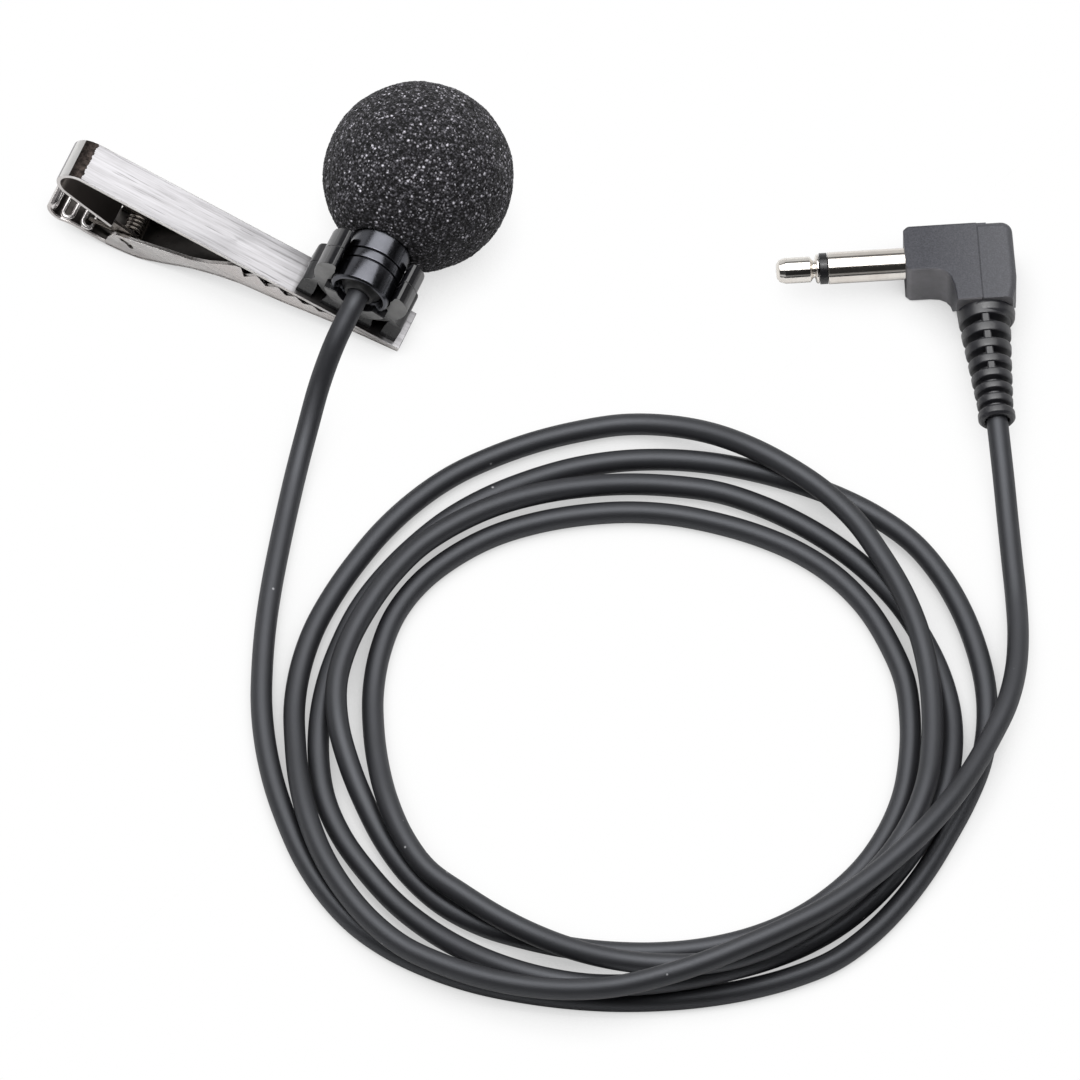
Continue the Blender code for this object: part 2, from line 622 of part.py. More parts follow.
LEAD = [  # from the barrel: (across, up, height of the cable's middle over the table)
    (-20.85, 25.10, 10.3), (-21.75, 23.00, 9.4), (-22.75, 20.90, 8.0), (-23.85, 17.85, 5.7),
    (-24.80, 14.90, 3.9), (-25.60, 11.60, 2.5), (-26.50, 8.20, 1.6), (-27.30, 4.70, 1.25),
]
LAID = [  # the coil as laid down: (across, up)
    (-28.3, 0.3), (-29.9, -8.8), (-30.4, -17.8), (-29.5, -24.6), (-27.6, -30.6), (-24.8, -36.3),
    (-20.6, -41.4), (-14.9, -45.2), (-6.8, -48.2), (3.8, -49.9), (14.0, -50.0), (23.7, -48.6),
    (32.6, -45.4), (39.7, -39.1), (45.0, -31.1), (48.1, -24.3), (48.8, -18.2), (47.8, -12.3),
    (45.1, -5.9), (40.9, -0.4), (35.1, 3.5), (28.1, 6.3), (20.2, 8.2), (12.6, 8.8), (4.9, 8.1),
    (-2.7, 5.9), (-9.3, 2.7), (-15.0, -1.9), (-19.5, -7.2), (-22.4, -13.1), (-23.9, -18.6),
    (-24.1, -24.6), (-22.8, -30.1), (-19.6, -35.2), (-15.1, -40.1), (-9.2, -44.1), (-2.2, -46.9),
    (5.3, -48.3), (13.1, -48.1), (21.7, -46.5), (28.9, -44.0), (35.1, -40.0), (40.4, -34.1),
    (44.0, -27.6), (45.0, -21.3), (44.0, -15.6), (41.4, -10.1), (38.0, -5.5), (33.4, -1.4),
    (28.1, 1.9), (20.8, 4.9), (13.1, 6.0), (5.5, 5.9), (-2.2, 4.6), (-8.5, 2.2), (-14.1, -1.5),
    (-18.5, -6.8), (-21.4, -12.4), (-22.3, -17.5), (-21.4, -22.5), (-19.5, -27.8),
    (-16.4, -33.7), (-12.3, -38.4), (-7.2, -41.6), (-0.2, -43.7), (6.9, -44.8), (15.2, -44.8),
    (23.0, -43.3), (29.8, -40.2), (35.6, -35.2), (39.3, -28.7), (40.4, -21.7), (39.7, -14.9),
    (36.8, -9.1), (33.7, -5.2), (28.7, -1.6), (21.7, 1.2), (13.1, 2.9), (4.4, 2.7), (-4.4, 0.7),
    (-11.4, -3.2), (-15.8, -8.1), (-17.9, -14.1), (-18.2, -19.7), (-17.5, -25.2), (-15.9, -30.2),
    (-13.1, -35.0), (-9.0, -38.2), (-2.8, -41.9), (4.0, -44.6), (11.5, -46.0), (19.5, -45.8),
    (26.8, -43.3), (33.8, -38.7), (39.2, -32.8), (42.1, -26.5), (42.8, -19.9), (42.2, -13.3),
    (40.4, -7.4), (37.5, -2.1), (33.9, 2.8), (29.9, 6.2), (24.4, 9.5), (18.3, 11.8),
    (10.9, 12.7), (3.8, 11.8), (-3.3, 9.8), (-10.3, 6.6), (-16.3, 1.9), (-21.1, -3.8),
    (-24.7, -9.8), (-26.6, -16.2), (-26.7, -22.1), (-25.9, -28.0), (-23.9, -33.8),
    (-20.5, -39.1), (-15.8, -43.6), (-9.6, -46.5), (-2.1, -48.4), (6.5, -48.7), (15.0, -46.8),
    (23.6, -43.5), (32.2, -39.3), (39.9, -33.4), (45.3, -27.6), (49.0, -21.8), (51.4, -16.6),
    (52.2, -11.3), (52.0, -6.0),
]
TAIL = [  # to the plug: (across, up, height)
    (51.70, -3.05, 1.25), (51.35, 0.20, 1.4), (51.05, 3.50, 1.75), (50.75, 6.60, 2.25),
    (50.40, 9.65, 2.85),
]
INSIDE_BARREL = (-1.4, -2.2, -3.2, -4.3)  # cable points along the barrel axis
INSIDE_RELIEF = (13.6, 11.0, 8.0, 5.0, 2.0, -1.0, -2.2)  # cable points down the strain relief
STEP = 1.25  # length between samples
GAP = round(26 / STEP)  # samples closer along the cable than this are one bend
REACH = round(6 / STEP)  # samples each side over which the cable rises
ROUNDS = 9  # repeats, so that a raised pass raises those on it
END_RANGE = 2  # how near a sample counts as at an end of the laid coil


def to_lay(x, y, z):
    return x, SIN * y + COS * z, -COS * y + SIN * z


def from_lay(across, up, out):
    return across, SIN * up - COS * out, COS * up + SIN * out


def at_height(across, up, height=CABLE_REST):
    return across, up, (height - COS * up) / SIN


def point_of(matrix, at):
    return matrix @ Vector([v * MM for v in at]) / MM


def first_near(samples, target):
    return next(i for i, p in enumerate(samples) if math.dist(p[:2], target) < END_RANGE)


def around(values, i):
    return values[max(0, i - REACH) : i + REACH + 1]


def stacked(lay):
    """The samples moved out of the lay plane wherever the cable crosses its earlier passes."""
    count = len(lay)
    touching = {}  # sample: [(earlier sample, how far out it must be from that one)]
    for j in range(first_near(lay, LAID[0]), count - 1 - first_near(lay[::-1], LAID[-1])):
        under = []
        for i in range(j - GAP):
            apart = math.dist(lay[i][:2], lay[j][:2])
            if apart < CABLE_APART:
                under.append((i, math.sqrt(CABLE_APART**2 - apart**2)))
        if under:
            touching[j] = under
    rest = [p[2] for p in lay]
    out = list(rest)
    for _ in range(ROUNDS):
        need = list(rest)
        for j, under in touching.items():
            need[j] = max([need[j]] + [out[i] + rise for i, rise in under])
        # a cable can't step up at once: it rises over a short run each side
        lift = [n - r for n, r in zip(need, rest)]
        widest = [max(around(lift, i)) for i in range(count)]
        spread = [sum(around(widest, i)) / len(around(widest, i)) for i in range(count)]
        out = [r + s for r, s in zip(rest, spread)]
    return [(across, up, o) for (across, up, _), o in zip(lay, out)]


bpy.context.view_layer.update()
barrel_end = [point_of(mic.matrix_world, (0, y, 0)) for y in INSIDE_BARREL]
plug_end = [point_of(relief.matrix_world, (0, 0, z)) for z in INSIDE_RELIEF]
knots = (
    [to_lay(*p) for p in barrel_end]
    + [at_height(*p) for p in LEAD + LAID + TAIL]
    + [to_lay(*p) for p in plug_end]
)
run = [from_lay(*p) for p in stacked(smooth_curve(knots, STEP))]
leaves_barrel = min(range(len(run)), key=lambda i: math.dist(run[i], barrel_end[-1]))
enters_relief = min(range(len(run)), key=lambda i: math.dist(run[i], plug_end[0]))
# straight inside the barrel and the strain relief, evenly ringed between them
centre_line = (
    [barrel_end[0], barrel_end[-1]]
    + resample(run[leaves_barrel:enters_relief], RING_SPACING)[1:-1]
    + [plug_end[0], plug_end[-1]]
)
wire("cable_jacket", centre_line, CABLE_RADIUS, "cable_black", datum, resolution=2)

# ---------------------------------------------------------------- wires from the cable into the plug
relief_to_plug = plug.matrix_world.inverted() @ relief.matrix_world
for name, side, bend in (
    ("plug_signal_wire", 1, [(3.4, 0.1, 1.6), (2.95, 0.15, 1.7)]),
    ("plug_shield_wire", -1, [(6.3, -3.7, 0.2), (4.6, -2.1, 0.1)]),
):
    root = [tuple(point_of(relief_to_plug, (0, 0.5 * side, z))) for z in (-2.35, -2.9)]
    wire(name, smooth_curve(root + bend, 0.8), CONDUCTOR_RADIUS, "copper", plug)

# ---------------------------------------------------------------- realise the modifiers
SHARP_ANGLE = math.radians(32)
solids = [obj for obj in parts.objects if obj.type == "MESH"]
for obj in solids:
    if obj.modifiers:
        made = evaluated_mesh(obj)
        made.name = obj.name
        obj.modifiers.clear()
        obj.data = made
    obj.data.shade_smooth()
    obj.data.set_sharp_from_angle(angle=SHARP_ANGLE)
for obj in list(cutters.objects):
    bpy.data.objects.remove(obj, do_unlink=True)
bpy.data.collections.remove(cutters)

# ---------------------------------------------------------------- centre it and set it on z = 0
bpy.context.view_layer.update()
corners = [obj.matrix_world @ vertex.co for obj in solids for vertex in obj.data.vertices]
low = [min(axis) for axis in zip(*corners)]
high = [max(axis) for axis in zip(*corners)]
datum.location = (-(low[0] + high[0]) / 2, -(low[1] + high[1]) / 2, -low[2])
bpy.context.view_layer.update()
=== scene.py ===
"""A clip-on microphone with its cable and plug, lying on a floor just under z = 0.

The foam ball and barrel sit in a cradle on a sprung clip. The cable runs from the back of the
barrel to a plug with an angled moulding. Pieces are drawn in mm in one of four frames:
  MIC     origin on the barrel axis. +Y along the barrel to the foam, +X along the clip's strip
          away from its hinge, +Z from the strip towards the barrel.
  JAW     the same directions, with its origin on the hinge pin.
  PLUG    +X along the plug from its tip to the moulding, +Z up.
  RELIEF  +Z along the cable's relief and away from the cable, +Y up.
"""
import json
import math
from collections import namedtuple

import bmesh
import bpy
import numpy as np
from mathutils import Matrix, Vector, noise

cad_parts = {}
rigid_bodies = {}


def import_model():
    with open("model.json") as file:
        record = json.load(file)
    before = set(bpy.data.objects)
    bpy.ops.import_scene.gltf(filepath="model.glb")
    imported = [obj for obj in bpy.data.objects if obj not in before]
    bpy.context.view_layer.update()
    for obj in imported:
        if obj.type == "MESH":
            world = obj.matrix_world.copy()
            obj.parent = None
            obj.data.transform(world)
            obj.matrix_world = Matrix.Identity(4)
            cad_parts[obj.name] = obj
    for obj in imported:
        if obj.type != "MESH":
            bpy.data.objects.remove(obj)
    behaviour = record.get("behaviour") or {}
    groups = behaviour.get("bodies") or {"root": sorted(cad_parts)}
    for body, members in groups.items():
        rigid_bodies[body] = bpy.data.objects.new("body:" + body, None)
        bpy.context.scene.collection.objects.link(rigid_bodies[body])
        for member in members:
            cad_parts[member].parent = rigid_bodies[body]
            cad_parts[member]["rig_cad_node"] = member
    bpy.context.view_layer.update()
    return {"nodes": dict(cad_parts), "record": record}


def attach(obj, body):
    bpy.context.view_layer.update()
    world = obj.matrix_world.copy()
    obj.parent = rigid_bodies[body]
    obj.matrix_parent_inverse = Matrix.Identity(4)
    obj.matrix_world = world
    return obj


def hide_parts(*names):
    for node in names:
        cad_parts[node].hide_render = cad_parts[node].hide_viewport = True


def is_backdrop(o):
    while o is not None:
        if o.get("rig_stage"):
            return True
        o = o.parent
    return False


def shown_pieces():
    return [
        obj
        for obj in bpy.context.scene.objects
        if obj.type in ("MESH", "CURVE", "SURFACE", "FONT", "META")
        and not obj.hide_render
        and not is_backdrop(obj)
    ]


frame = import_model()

MM = 0.001
UP = Vector((0, 0, 1))

# ---------------------------------------------------------------- frames, from record and nodes
PIN = (-24.5, -15.6)  # hinge pin in the MIC frame: x, z
PLUG_TAIL = 3.0  # from the PLUG origin to the hidden end of the plug's tip piece
CABLE_START_Y = -1.4  # where the cable begins inside the barrel, in MIC
RELIEF_SETBACK = 2.2  # from the cable's last ring to the RELIEF origin
CABLE_RING = 8  # points in one ring of the cable node


def frame_of(x, y, z, at):
    matrix = Matrix((x, y, z)).transposed().to_4x4()
    matrix.translation = at
    return matrix


def node_points(name):
    obj = frame["nodes"][name]
    return np.array([obj.matrix_world @ v.co for v in obj.data.vertices], float)


def turned_axis(name):
    """(start, end) of a turned node's axis: the middles of its two ends."""
    points = node_points(name)
    middle = points.mean(0)
    way = np.linalg.svd(points - middle, full_matrices=False)[2][0]
    if way[0] < 0:
        way = -way
    along = (points - middle) @ way
    end_depth = 2e-5
    first = points[along < along.min() + end_depth].mean(0)
    last = points[along > along.max() - end_depth].mean(0)
    return Vector(first), Vector(last)


def welded(name):
    """Points of a node joined where they coincide, and its triangles."""
    mesh = frame["nodes"][name].data
    points = node_points(name)
    microns = np.round(points * 1e6).astype(np.int64)
    _, keep, back = np.unique(microns, axis=0, return_index=True, return_inverse=True)
    back = back.reshape(-1)
    mesh.calc_loop_triangles()
    return points[keep], [[back[i] for i in t.vertices] for t in mesh.loop_triangles]


def tube_middle(name, start):
    """The middle line of a tube node: ring by ring from the end next to start."""
    points, faces = welded(name)
    touching = [set() for _ in points]
    for corners in faces:
        for corner in corners:
            touching[corner].update(other for other in corners if other != corner)
    away = np.linalg.norm(points - np.array(start), axis=1)
    ring = set(np.argsort(away)[:CABLE_RING].tolist())
    seen, line = set(), []
    while ring:
        line.append(Vector(points[sorted(ring)].mean(0)))
        seen |= ring
        ring = set().union(*(touching[i] for i in ring)) - seen
    return line


joints = {j["name"]: j for j in frame["record"]["behaviour"]["joints"]}
barrel_way = Vector(joints["clip_turn"]["axis"]).normalized()
barrel_at = Vector(joints["clip_turn"]["pos_m"])
pin_at = Vector(joints["jaw_open"]["pos_m"])
level = Vector((barrel_way.y, -barrel_way.x, 0)).normalized()
rise = level.cross(barrel_way).normalized()
to_pin = pin_at - barrel_at
tilt = math.atan2(to_pin.dot(rise), to_pin.dot(level)) - math.atan2(PIN[1], PIN[0])
strip_way = level * math.cos(tilt) + rise * math.sin(tilt)
strip_up = rise * math.cos(tilt) - level * math.sin(tilt)
MIC = frame_of(strip_way, barrel_way, strip_up, barrel_at)
JAW = frame_of(strip_way, barrel_way, strip_up, pin_at)

nose, tail_end = turned_axis("plug_tip")
plug_x = (tail_end - nose).normalized()
plug_y = UP.cross(plug_x).normalized()
PLUG = frame_of(plug_x, plug_y, plug_x.cross(plug_y), tail_end - plug_x * PLUG_TAIL * MM)

cable_line = tube_middle("cable_jacket", MIC @ Vector((0, CABLE_START_Y * MM, 0)))
relief_way = (cable_line[-2] - cable_line[-1]).normalized()
relief_at = cable_line[-1] + relief_way * RELIEF_SETBACK * MM
# the moulding's relief runs from here back over the cable
RELIEF = frame_of(UP.cross(relief_way), UP, relief_way, relief_at)


# ---------------------------------------------------------------- shader graphs
MIX_SHARE, MIX_LOW, MIX_HIGH, MIX_COLOUR_OUT = 0, 6, 7, 2  # colour sockets of a Mix node


def rgba(colour):
    """A grey level or an RGB tuple as opaque RGBA."""
    return (*colour, 1) if isinstance(colour, tuple) else (colour, colour, colour, 1)


def times_colour(colour, by):
    return tuple(min(1, c * by) for c in colour)


class Graph:
    """A node tree in the making. own: textures follow the "own" attribute, in mm of the piece's
    frame; otherwise they follow object coordinates, scaled to mm."""

    def __init__(self, owner, own=True):
        self.owner = owner
        self.tree = owner.node_tree
        self.own = own

    def fill(self, node, inputs):
        """Links or sets inputs, given by name or index."""
        for key, value in inputs.items():
            socket = node.inputs[key]
            if isinstance(value, bpy.types.NodeSocket):
                self.tree.links.new(value, socket)
            else:
                socket.default_value = rgba(value) if socket.type == "RGBA" else value

    def node(self, kind, inputs=None, **settings):
        made = self.tree.nodes.new("ShaderNode" + kind)
        for key, value in settings.items():
            setattr(made, key, value)
        self.fill(made, inputs or {})
        return made

    def coords(self, stretch=(1, 1, 1)):
        """Texture coordinates in mm, multiplied by stretch."""
        if self.own:
            source = self.node("Attribute", attribute_name="own").outputs["Vector"]
        else:
            source = self.node("TexCoord").outputs["Object"]
            stretch = tuple(1000 * s for s in stretch)
        return self.node("Mapping", {"Scale": stretch, "Vector": source}).outputs[0]

    def maths(self, operation, first, second):
        return self.node("Math", {0: first, 1: second}, operation=operation).outputs[0]

    def times(self, first, second):
        return self.maths("MULTIPLY", first, second)

    def wobble(self, value, by):
        """A noise value centred on zero and scaled."""
        return self.times(self.maths("SUBTRACT", value, 0.5), by)

    def share(self, value, start, length):
        """0 where value is start, 1 a length further on."""
        return self.times(self.maths("ADD", value, -start), 1 / length)

    def split(self, vector):
        return self.node("SeparateXYZ", {0: vector}).outputs

    def blend(self, kind, low, high, share=1.0):
        inputs = {MIX_SHARE: share, MIX_LOW: low, MIX_HIGH: high}
        made = self.node("Mix", inputs, data_type="RGBA", blend_type=kind)
        return made.outputs[MIX_COLOUR_OUT]

    def mixed(self, share, low, high):
        """Colour that goes from low to high with share."""
        return self.blend("MIX", low, high, share)

    def noise(self, vector, scale, detail=4.0, rough=0.55):
        inputs = {"Scale": scale, "Detail": detail, "Roughness": rough, "Vector": vector}
        return self.node("TexNoise", inputs).outputs[0]

    def cells(self, vector, scale):
        """Distance to the nearest Voronoi point, and a random lot from 0 to 1 for its cell."""
        made = self.node("TexVoronoi", {"Scale": scale, "Vector": vector}, feature="F1")
        lots = self.node("SeparateColor", {0: made.outputs["Color"]})
        return made.outputs["Distance"], lots.outputs[0]

    def ramp(self, value, *stops):
        """A colour ramp. Each stop is (position, RGB or grey level)."""
        made = self.node("ValToRGB", {0: value})
        elements = made.color_ramp.elements
        while len(elements) < len(stops):
            elements.new(0.5)
        for element, (position, colour) in zip(elements, stops):
            element.position = position
            element.color = rgba(colour)
        return made.outputs[0]

    def bump(self, height, strength, depth_mm):
        inputs = {"Strength": strength, "Distance": depth_mm * MM, "Height": height}
        return self.node("Bump", inputs).outputs[0]

    def finish(self, inputs):
        """Fills the Principled shader and gives back the material."""
        self.fill(self.shader, inputs)
        return self.owner


def new_material(name, own=True):
    made = bpy.data.materials.new(name)
    made.use_nodes = True
    made.node_tree.nodes.clear()
    graph = Graph(made, own)
    graph.output = graph.node("OutputMaterial")
    graph.shader = graph.node("BsdfPrincipled")
    graph.fill(graph.output, {0: graph.shader.outputs[0]})
    return graph


# ---------------------------------------------------------------- materials
def plain(name, colour, rough, metal=0.0, grain=0.25, grain_scale=6.0, vary=0.12, specular=0.5,
          own=True):
    """A solid finish with faint uneven colour, uneven sheen and a fine grain."""
    graph = new_material(name, own)
    at = graph.coords()
    broad = graph.noise(at, scale=0.5, detail=3)
    fine = graph.noise(at, scale=grain_scale, detail=3, rough=0.6)
    low, high = times_colour(colour, 1 - vary), times_colour(colour, 1 + vary)
    return graph.finish({
        "Base Color": graph.ramp(broad, (0.3, low), (0.7, high)),
        "Roughness": graph.ramp(fine, (0.3, max(0.02, rough - 0.06)), (0.7, rough + 0.06)),
        "Metallic": metal,
        "Specular IOR Level": specular,
        "Normal": graph.bump(fine, strength=grain, depth_mm=0.02),
    })


def brushed(name, colour, rough, stretch, streak=0.35, own=True):
    """Brushed metal: streaks along the direction that stretch leaves long, darker by streak."""
    graph = new_material(name, own)
    at = graph.coords(stretch)
    lines = graph.noise(at, scale=1.0, detail=6, rough=0.7)
    coarse = graph.noise(at, scale=0.28, detail=3, rough=0.6)
    broad = graph.noise(graph.coords(), scale=0.22, detail=2)
    dark, bright = times_colour(colour, 1 - streak), times_colour(colour, 1.05)
    streaks = graph.ramp(graph.times(lines, coarse), (0.12, dark), (0.24, colour), (0.5, bright))
    tarnish = graph.ramp(broad, (0.35, (0.90, 0.87, 0.86)), (0.65, 1.0))
    return graph.finish({
        "Base Color": graph.blend("MULTIPLY", streaks, tarnish),
        "Roughness": graph.ramp(lines, (0.3, rough + 0.1), (0.7, max(0.04, rough - 0.05))),
        "Metallic": 1.0,
        "Normal": graph.bump(lines, strength=0.35, depth_mm=0.012),
    })


def foam_material():
    """Open-cell foam: mid-grey struts, painted shade in the hollows and a scatter of painted
    glints.
    """
    graph = new_material("foam_open_cell")
    at = graph.coords()
    struts = graph.noise(at, scale=2.7, detail=3.0, rough=0.60)
    patches = graph.noise(at, scale=0.45, detail=2)
    dots, painted_glints = [], []
    for scale, gain in ((2.5, 1.0), (3.7, 0.6)):
        distance, lot = graph.cells(at, scale)
        chance = graph.maths("ADD", lot, graph.wobble(patches, by=0.30))
        # painted glints: few cells are painted brightly, most hardly at all
        painted_shine = graph.ramp(chance, (0.0, 0.002 * gain), (0.40, 0.020 * gain), (0.70, 0.085 * gain),
                           (0.90, 0.34 * gain), (1.0, 0.80 * gain))
        dot = graph.ramp(distance, (0.14, 1.0), (0.50, 0.0))
        dots.append(dot)
        painted_glints.append(graph.mixed(dot, 0.0, painted_shine))
    tinted = graph.blend("MULTIPLY", graph.blend("ADD", *painted_glints), (0.94, 0.91, 1.0))
    # the struts' grey, with painted shade in the hollows between them
    struts_and_shaded_hollows = graph.ramp(struts, (0.42, (0.001, 0.0009, 0.0012)), (0.51, (0.006, 0.0056, 0.0068)),
                         (0.59, (0.024, 0.023, 0.027)), (0.70, (0.095, 0.092, 0.105)))
    height = graph.maths("ADD", struts, graph.times(dots[0], 0.5))
    return graph.finish({
        "Base Color": graph.blend("ADD", tinted, struts_and_shaded_hollows),
        "Roughness": 0.7,
        "Specular IOR Level": 0.2,
        "Sheen Weight": 0.05,
        "Sheen Roughness": 0.5,
        "Normal": graph.bump(height, strength=1.0, depth_mm=0.22),
    })


def cable_material():
    """Satin black with a few pale flecks of dust."""
    graph = new_material("cable_satin")
    at = graph.coords()
    fine = graph.noise(at, scale=9.0, detail=3, rough=0.6)
    broad = graph.noise(at, scale=0.12, detail=3)
    base = graph.ramp(broad, (0.3, (0.008, 0.008, 0.009)), (0.7, (0.013, 0.013, 0.015)))
    distance, lot = graph.cells(at, scale=0.42)
    chosen = graph.ramp(lot, (0.86, 0.0), (0.90, 1.0))
    spot = graph.ramp(distance, (0.035, 1.0), (0.075, 0.0))
    fleck = graph.times(chosen, spot)
    return graph.finish({
        "Base Color": graph.mixed(fleck, base, (0.30, 0.30, 0.31)),
        "Roughness": graph.ramp(fine, (0.3, 0.46), (0.7, 0.56)),
        "Specular IOR Level": 0.74,
        "Specular Tint": (0.90, 0.93, 1.0),
        "Normal": graph.bump(fine, strength=0.25, depth_mm=0.02),
    })


def cradle_material():
    """Glossy moulded black, with painted light: its upper end faces are painted paler, and duller.
    """
    graph = new_material("cradle_gloss")
    at = graph.coords()
    fine = graph.noise(at, scale=4.0, detail=3, rough=0.6)
    broad = graph.noise(at, scale=0.6, detail=3)
    painted_shading_faces = graph.node("Attribute", attribute_name="painted_shading_faces").outputs["Fac"]
    place = graph.split(at)
    upper = graph.ramp(graph.share(place["Z"], start=-8.0, length=10.0), (0.42, 0.06), (0.66, 1.0))
    # painted light: the upper end faces get a paler grey
    end = graph.ramp(graph.times(painted_shading_faces, upper), (0.0, 0.0), (1.0, 1.0))
    base = graph.ramp(broad, (0.35, (0.006, 0.006, 0.007)), (0.65, (0.012, 0.012, 0.014)))
    painted_light_grey = graph.ramp(broad, (0.35, (0.19, 0.188, 0.185)), (0.65, (0.27, 0.268, 0.265)))
    # painted light: the upper outer arm walls are painted paler; low down stays black, less
    # specular
    from_middle = graph.maths("ABSOLUTE", place["X"], 0.0)
    wide = graph.ramp(graph.times(from_middle, 0.1), (0.46, 0.0), (0.51, 1.0))
    painted_light_walls = graph.times(wide, upper)
    base = graph.mixed(painted_light_walls, base, (0.085, 0.084, 0.086))
    rough = graph.mixed(painted_light_walls, graph.ramp(fine, (0.3, 0.10), (0.7, 0.17)), 0.30)
    return graph.finish({
        "Base Color": graph.mixed(end, base, painted_light_grey),
        "Roughness": graph.mixed(end, rough, 0.42),
        "Specular IOR Level": graph.mixed(upper, 0.14, 0.65),
        "Coat Weight": 0.12,
        "Coat Roughness": 0.08,
        "Normal": graph.bump(fine, strength=0.08, depth_mm=0.02),
    })


def strip_material():
    """Brushed nickel streaked along the strip, with a painted dark reflection where it starts to
    bend.
    """
    # in mm of the MIC frame
    DARK_BAND_START_X, DARK_BAND_END_X = -32.55, -33.95
    ROLL_START_X = -33.9
    UPPER_Z = -8.9
    graph = new_material("strip_brushed")
    at = graph.coords()
    place = graph.split(at)

    lines = graph.noise(graph.coords((0.10, 3.0, 3.0)), scale=1.0, detail=6, rough=0.7)
    coarse = graph.noise(graph.coords((0.05, 0.8, 0.8)), scale=1.0, detail=3, rough=0.6)
    both = graph.maths("ADD", graph.times(lines, 0.7), graph.times(coarse, 0.3))
    streaks = graph.ramp(both, (0.36, (0.15, 0.146, 0.15)), (0.44, (0.27, 0.265, 0.272)),
                         (0.60, (0.335, 0.33, 0.34)))
    scratch = graph.noise(graph.coords((0.16, 5.0, 5.0)), scale=1.0, detail=2, rough=0.5)
    scratched = graph.ramp(scratch, (0.64, 0.0), (0.70, 0.85))
    streaks = graph.mixed(scratched, streaks, (0.12, 0.115, 0.12))

    # painted dark reflection in a band where the strip starts to bend, also rougher, ragged at the
    # edge it starts from
    ragged = graph.noise(graph.coords((0.8, 2.4, 0.8)), scale=1.0, detail=3, rough=0.7)
    along = graph.maths("ADD", place["X"], graph.wobble(ragged, by=0.7))
    before = graph.maths("LESS_THAN", along, DARK_BAND_START_X)
    after = graph.maths("GREATER_THAN", place["X"], DARK_BAND_END_X)
    above = graph.maths("GREATER_THAN", place["Z"], UPPER_Z)
    band_share = graph.times(graph.times(before, after), above)
    blotches = graph.noise(at, scale=2.4, detail=4, rough=0.7)
    painted_dark_reflection = graph.ramp(blotches, (0.4, (0.018, 0.015, 0.014)), (0.65, (0.065, 0.052, 0.047)))
    roll = graph.times(graph.maths("LESS_THAN", place["X"], ROLL_START_X), above)

    # painted shade: the stretch under the cradle is painted dark, and so are the underside and the
    # inside of the bend
    shaded = graph.ramp(graph.share(place["X"], start=-10.0, length=20.0),
                        (0.17, 0.0), (0.21, 1.0), (0.735, 1.0), (0.755, 0.0))
    under = graph.node("Attribute", attribute_name="painted_shading_faces").outputs["Fac"]
    streaks = graph.mixed(shaded, streaks, (0.07, 0.066, 0.066))
    # painted reflection: the bend beyond ROLL_START_X is painted much paler than the flat strip
    streaks_and_painted_roll = graph.mixed(roll, streaks, (0.78, 0.77, 0.76))
    metal = graph.mixed(band_share, streaks_and_painted_roll, painted_dark_reflection)
    painted_bend_shade = graph.ramp(graph.share(place["X"], start=-35.0, length=10.0),
                        (0.05, (0.21, 0.185, 0.17)), (0.30, (0.10, 0.088, 0.082)),
                        (0.70, (0.035, 0.030, 0.028)))
    rough = graph.ramp(lines, (0.3, 0.42), (0.7, 0.30))
    return graph.finish({
        "Base Color": graph.mixed(under, metal, painted_bend_shade),
        "Roughness": graph.mixed(band_share, rough, 0.55),
        "Metallic": 1.0,
        "Anisotropic": 0.6,
        "Normal": graph.bump(lines, strength=0.35, depth_mm=0.012),
    })


def mould_material():
    """Fine-textured satin moulding, with painted light: paler on walls that face world -Y."""
    graph = new_material("mould_textured")
    at = graph.coords()
    broad = graph.noise(at, scale=0.5, detail=3)
    fine = graph.noise(at, scale=5.5, detail=3, rough=0.65)
    facing = graph.split(graph.node("NewGeometry").outputs["Normal"])
    # painted light: walls that face world -Y are painted the paler wall colour
    front = graph.ramp(graph.times(facing["Y"], -1.0), (0.35, 0.0), (0.80, 1.0))
    top = graph.ramp(fine, (0.34, (0.014, 0.014, 0.018)), (0.50, (0.023, 0.023, 0.029)),
                     (0.66, (0.036, 0.036, 0.044)))
    # painted light: slightly paler towards the end away from the plug's pin
    along = graph.times(graph.split(at)["X"], 0.083)
    painted_light_gradient = graph.ramp(along, (0.2, 0.0), (0.9, 0.035))
    wall = graph.ramp(broad, (0.3, (0.135, 0.131, 0.138)), (0.7, (0.185, 0.180, 0.190)))
    return graph.finish({
        "Base Color": graph.mixed(front, graph.blend("ADD", top, painted_light_gradient), wall),
        "Roughness": graph.ramp(fine, (0.35, 0.50), (0.65, 0.42)),
        "Specular IOR Level": 0.48,
        "Specular Tint": (0.92, 0.94, 1.0),
        "Normal": graph.bump(fine, strength=0.8, depth_mm=0.03),
    })


LOOKS = {
    "foam": foam_material(),
    "cable": cable_material(),
    "barrel": plain("barrel_anodised", (0.098, 0.100, 0.112), rough=0.21, metal=1.0, grain=0.10,
                    grain_scale=8),
    "grommet": plain("grommet_soft", (0.012, 0.012, 0.013), rough=0.55, grain=0.3),
    "cradle": cradle_material(),
    "mould": mould_material(),
    "relief": plain("relief_satin", (0.014, 0.014, 0.017), rough=0.36, grain=0.5, grain_scale=5.0,
                    vary=0.25, specular=0.72),
    "insulator": plain("insulator_black", (0.010, 0.010, 0.011), rough=0.28, grain=0.08),
    "strip": strip_material(),
}
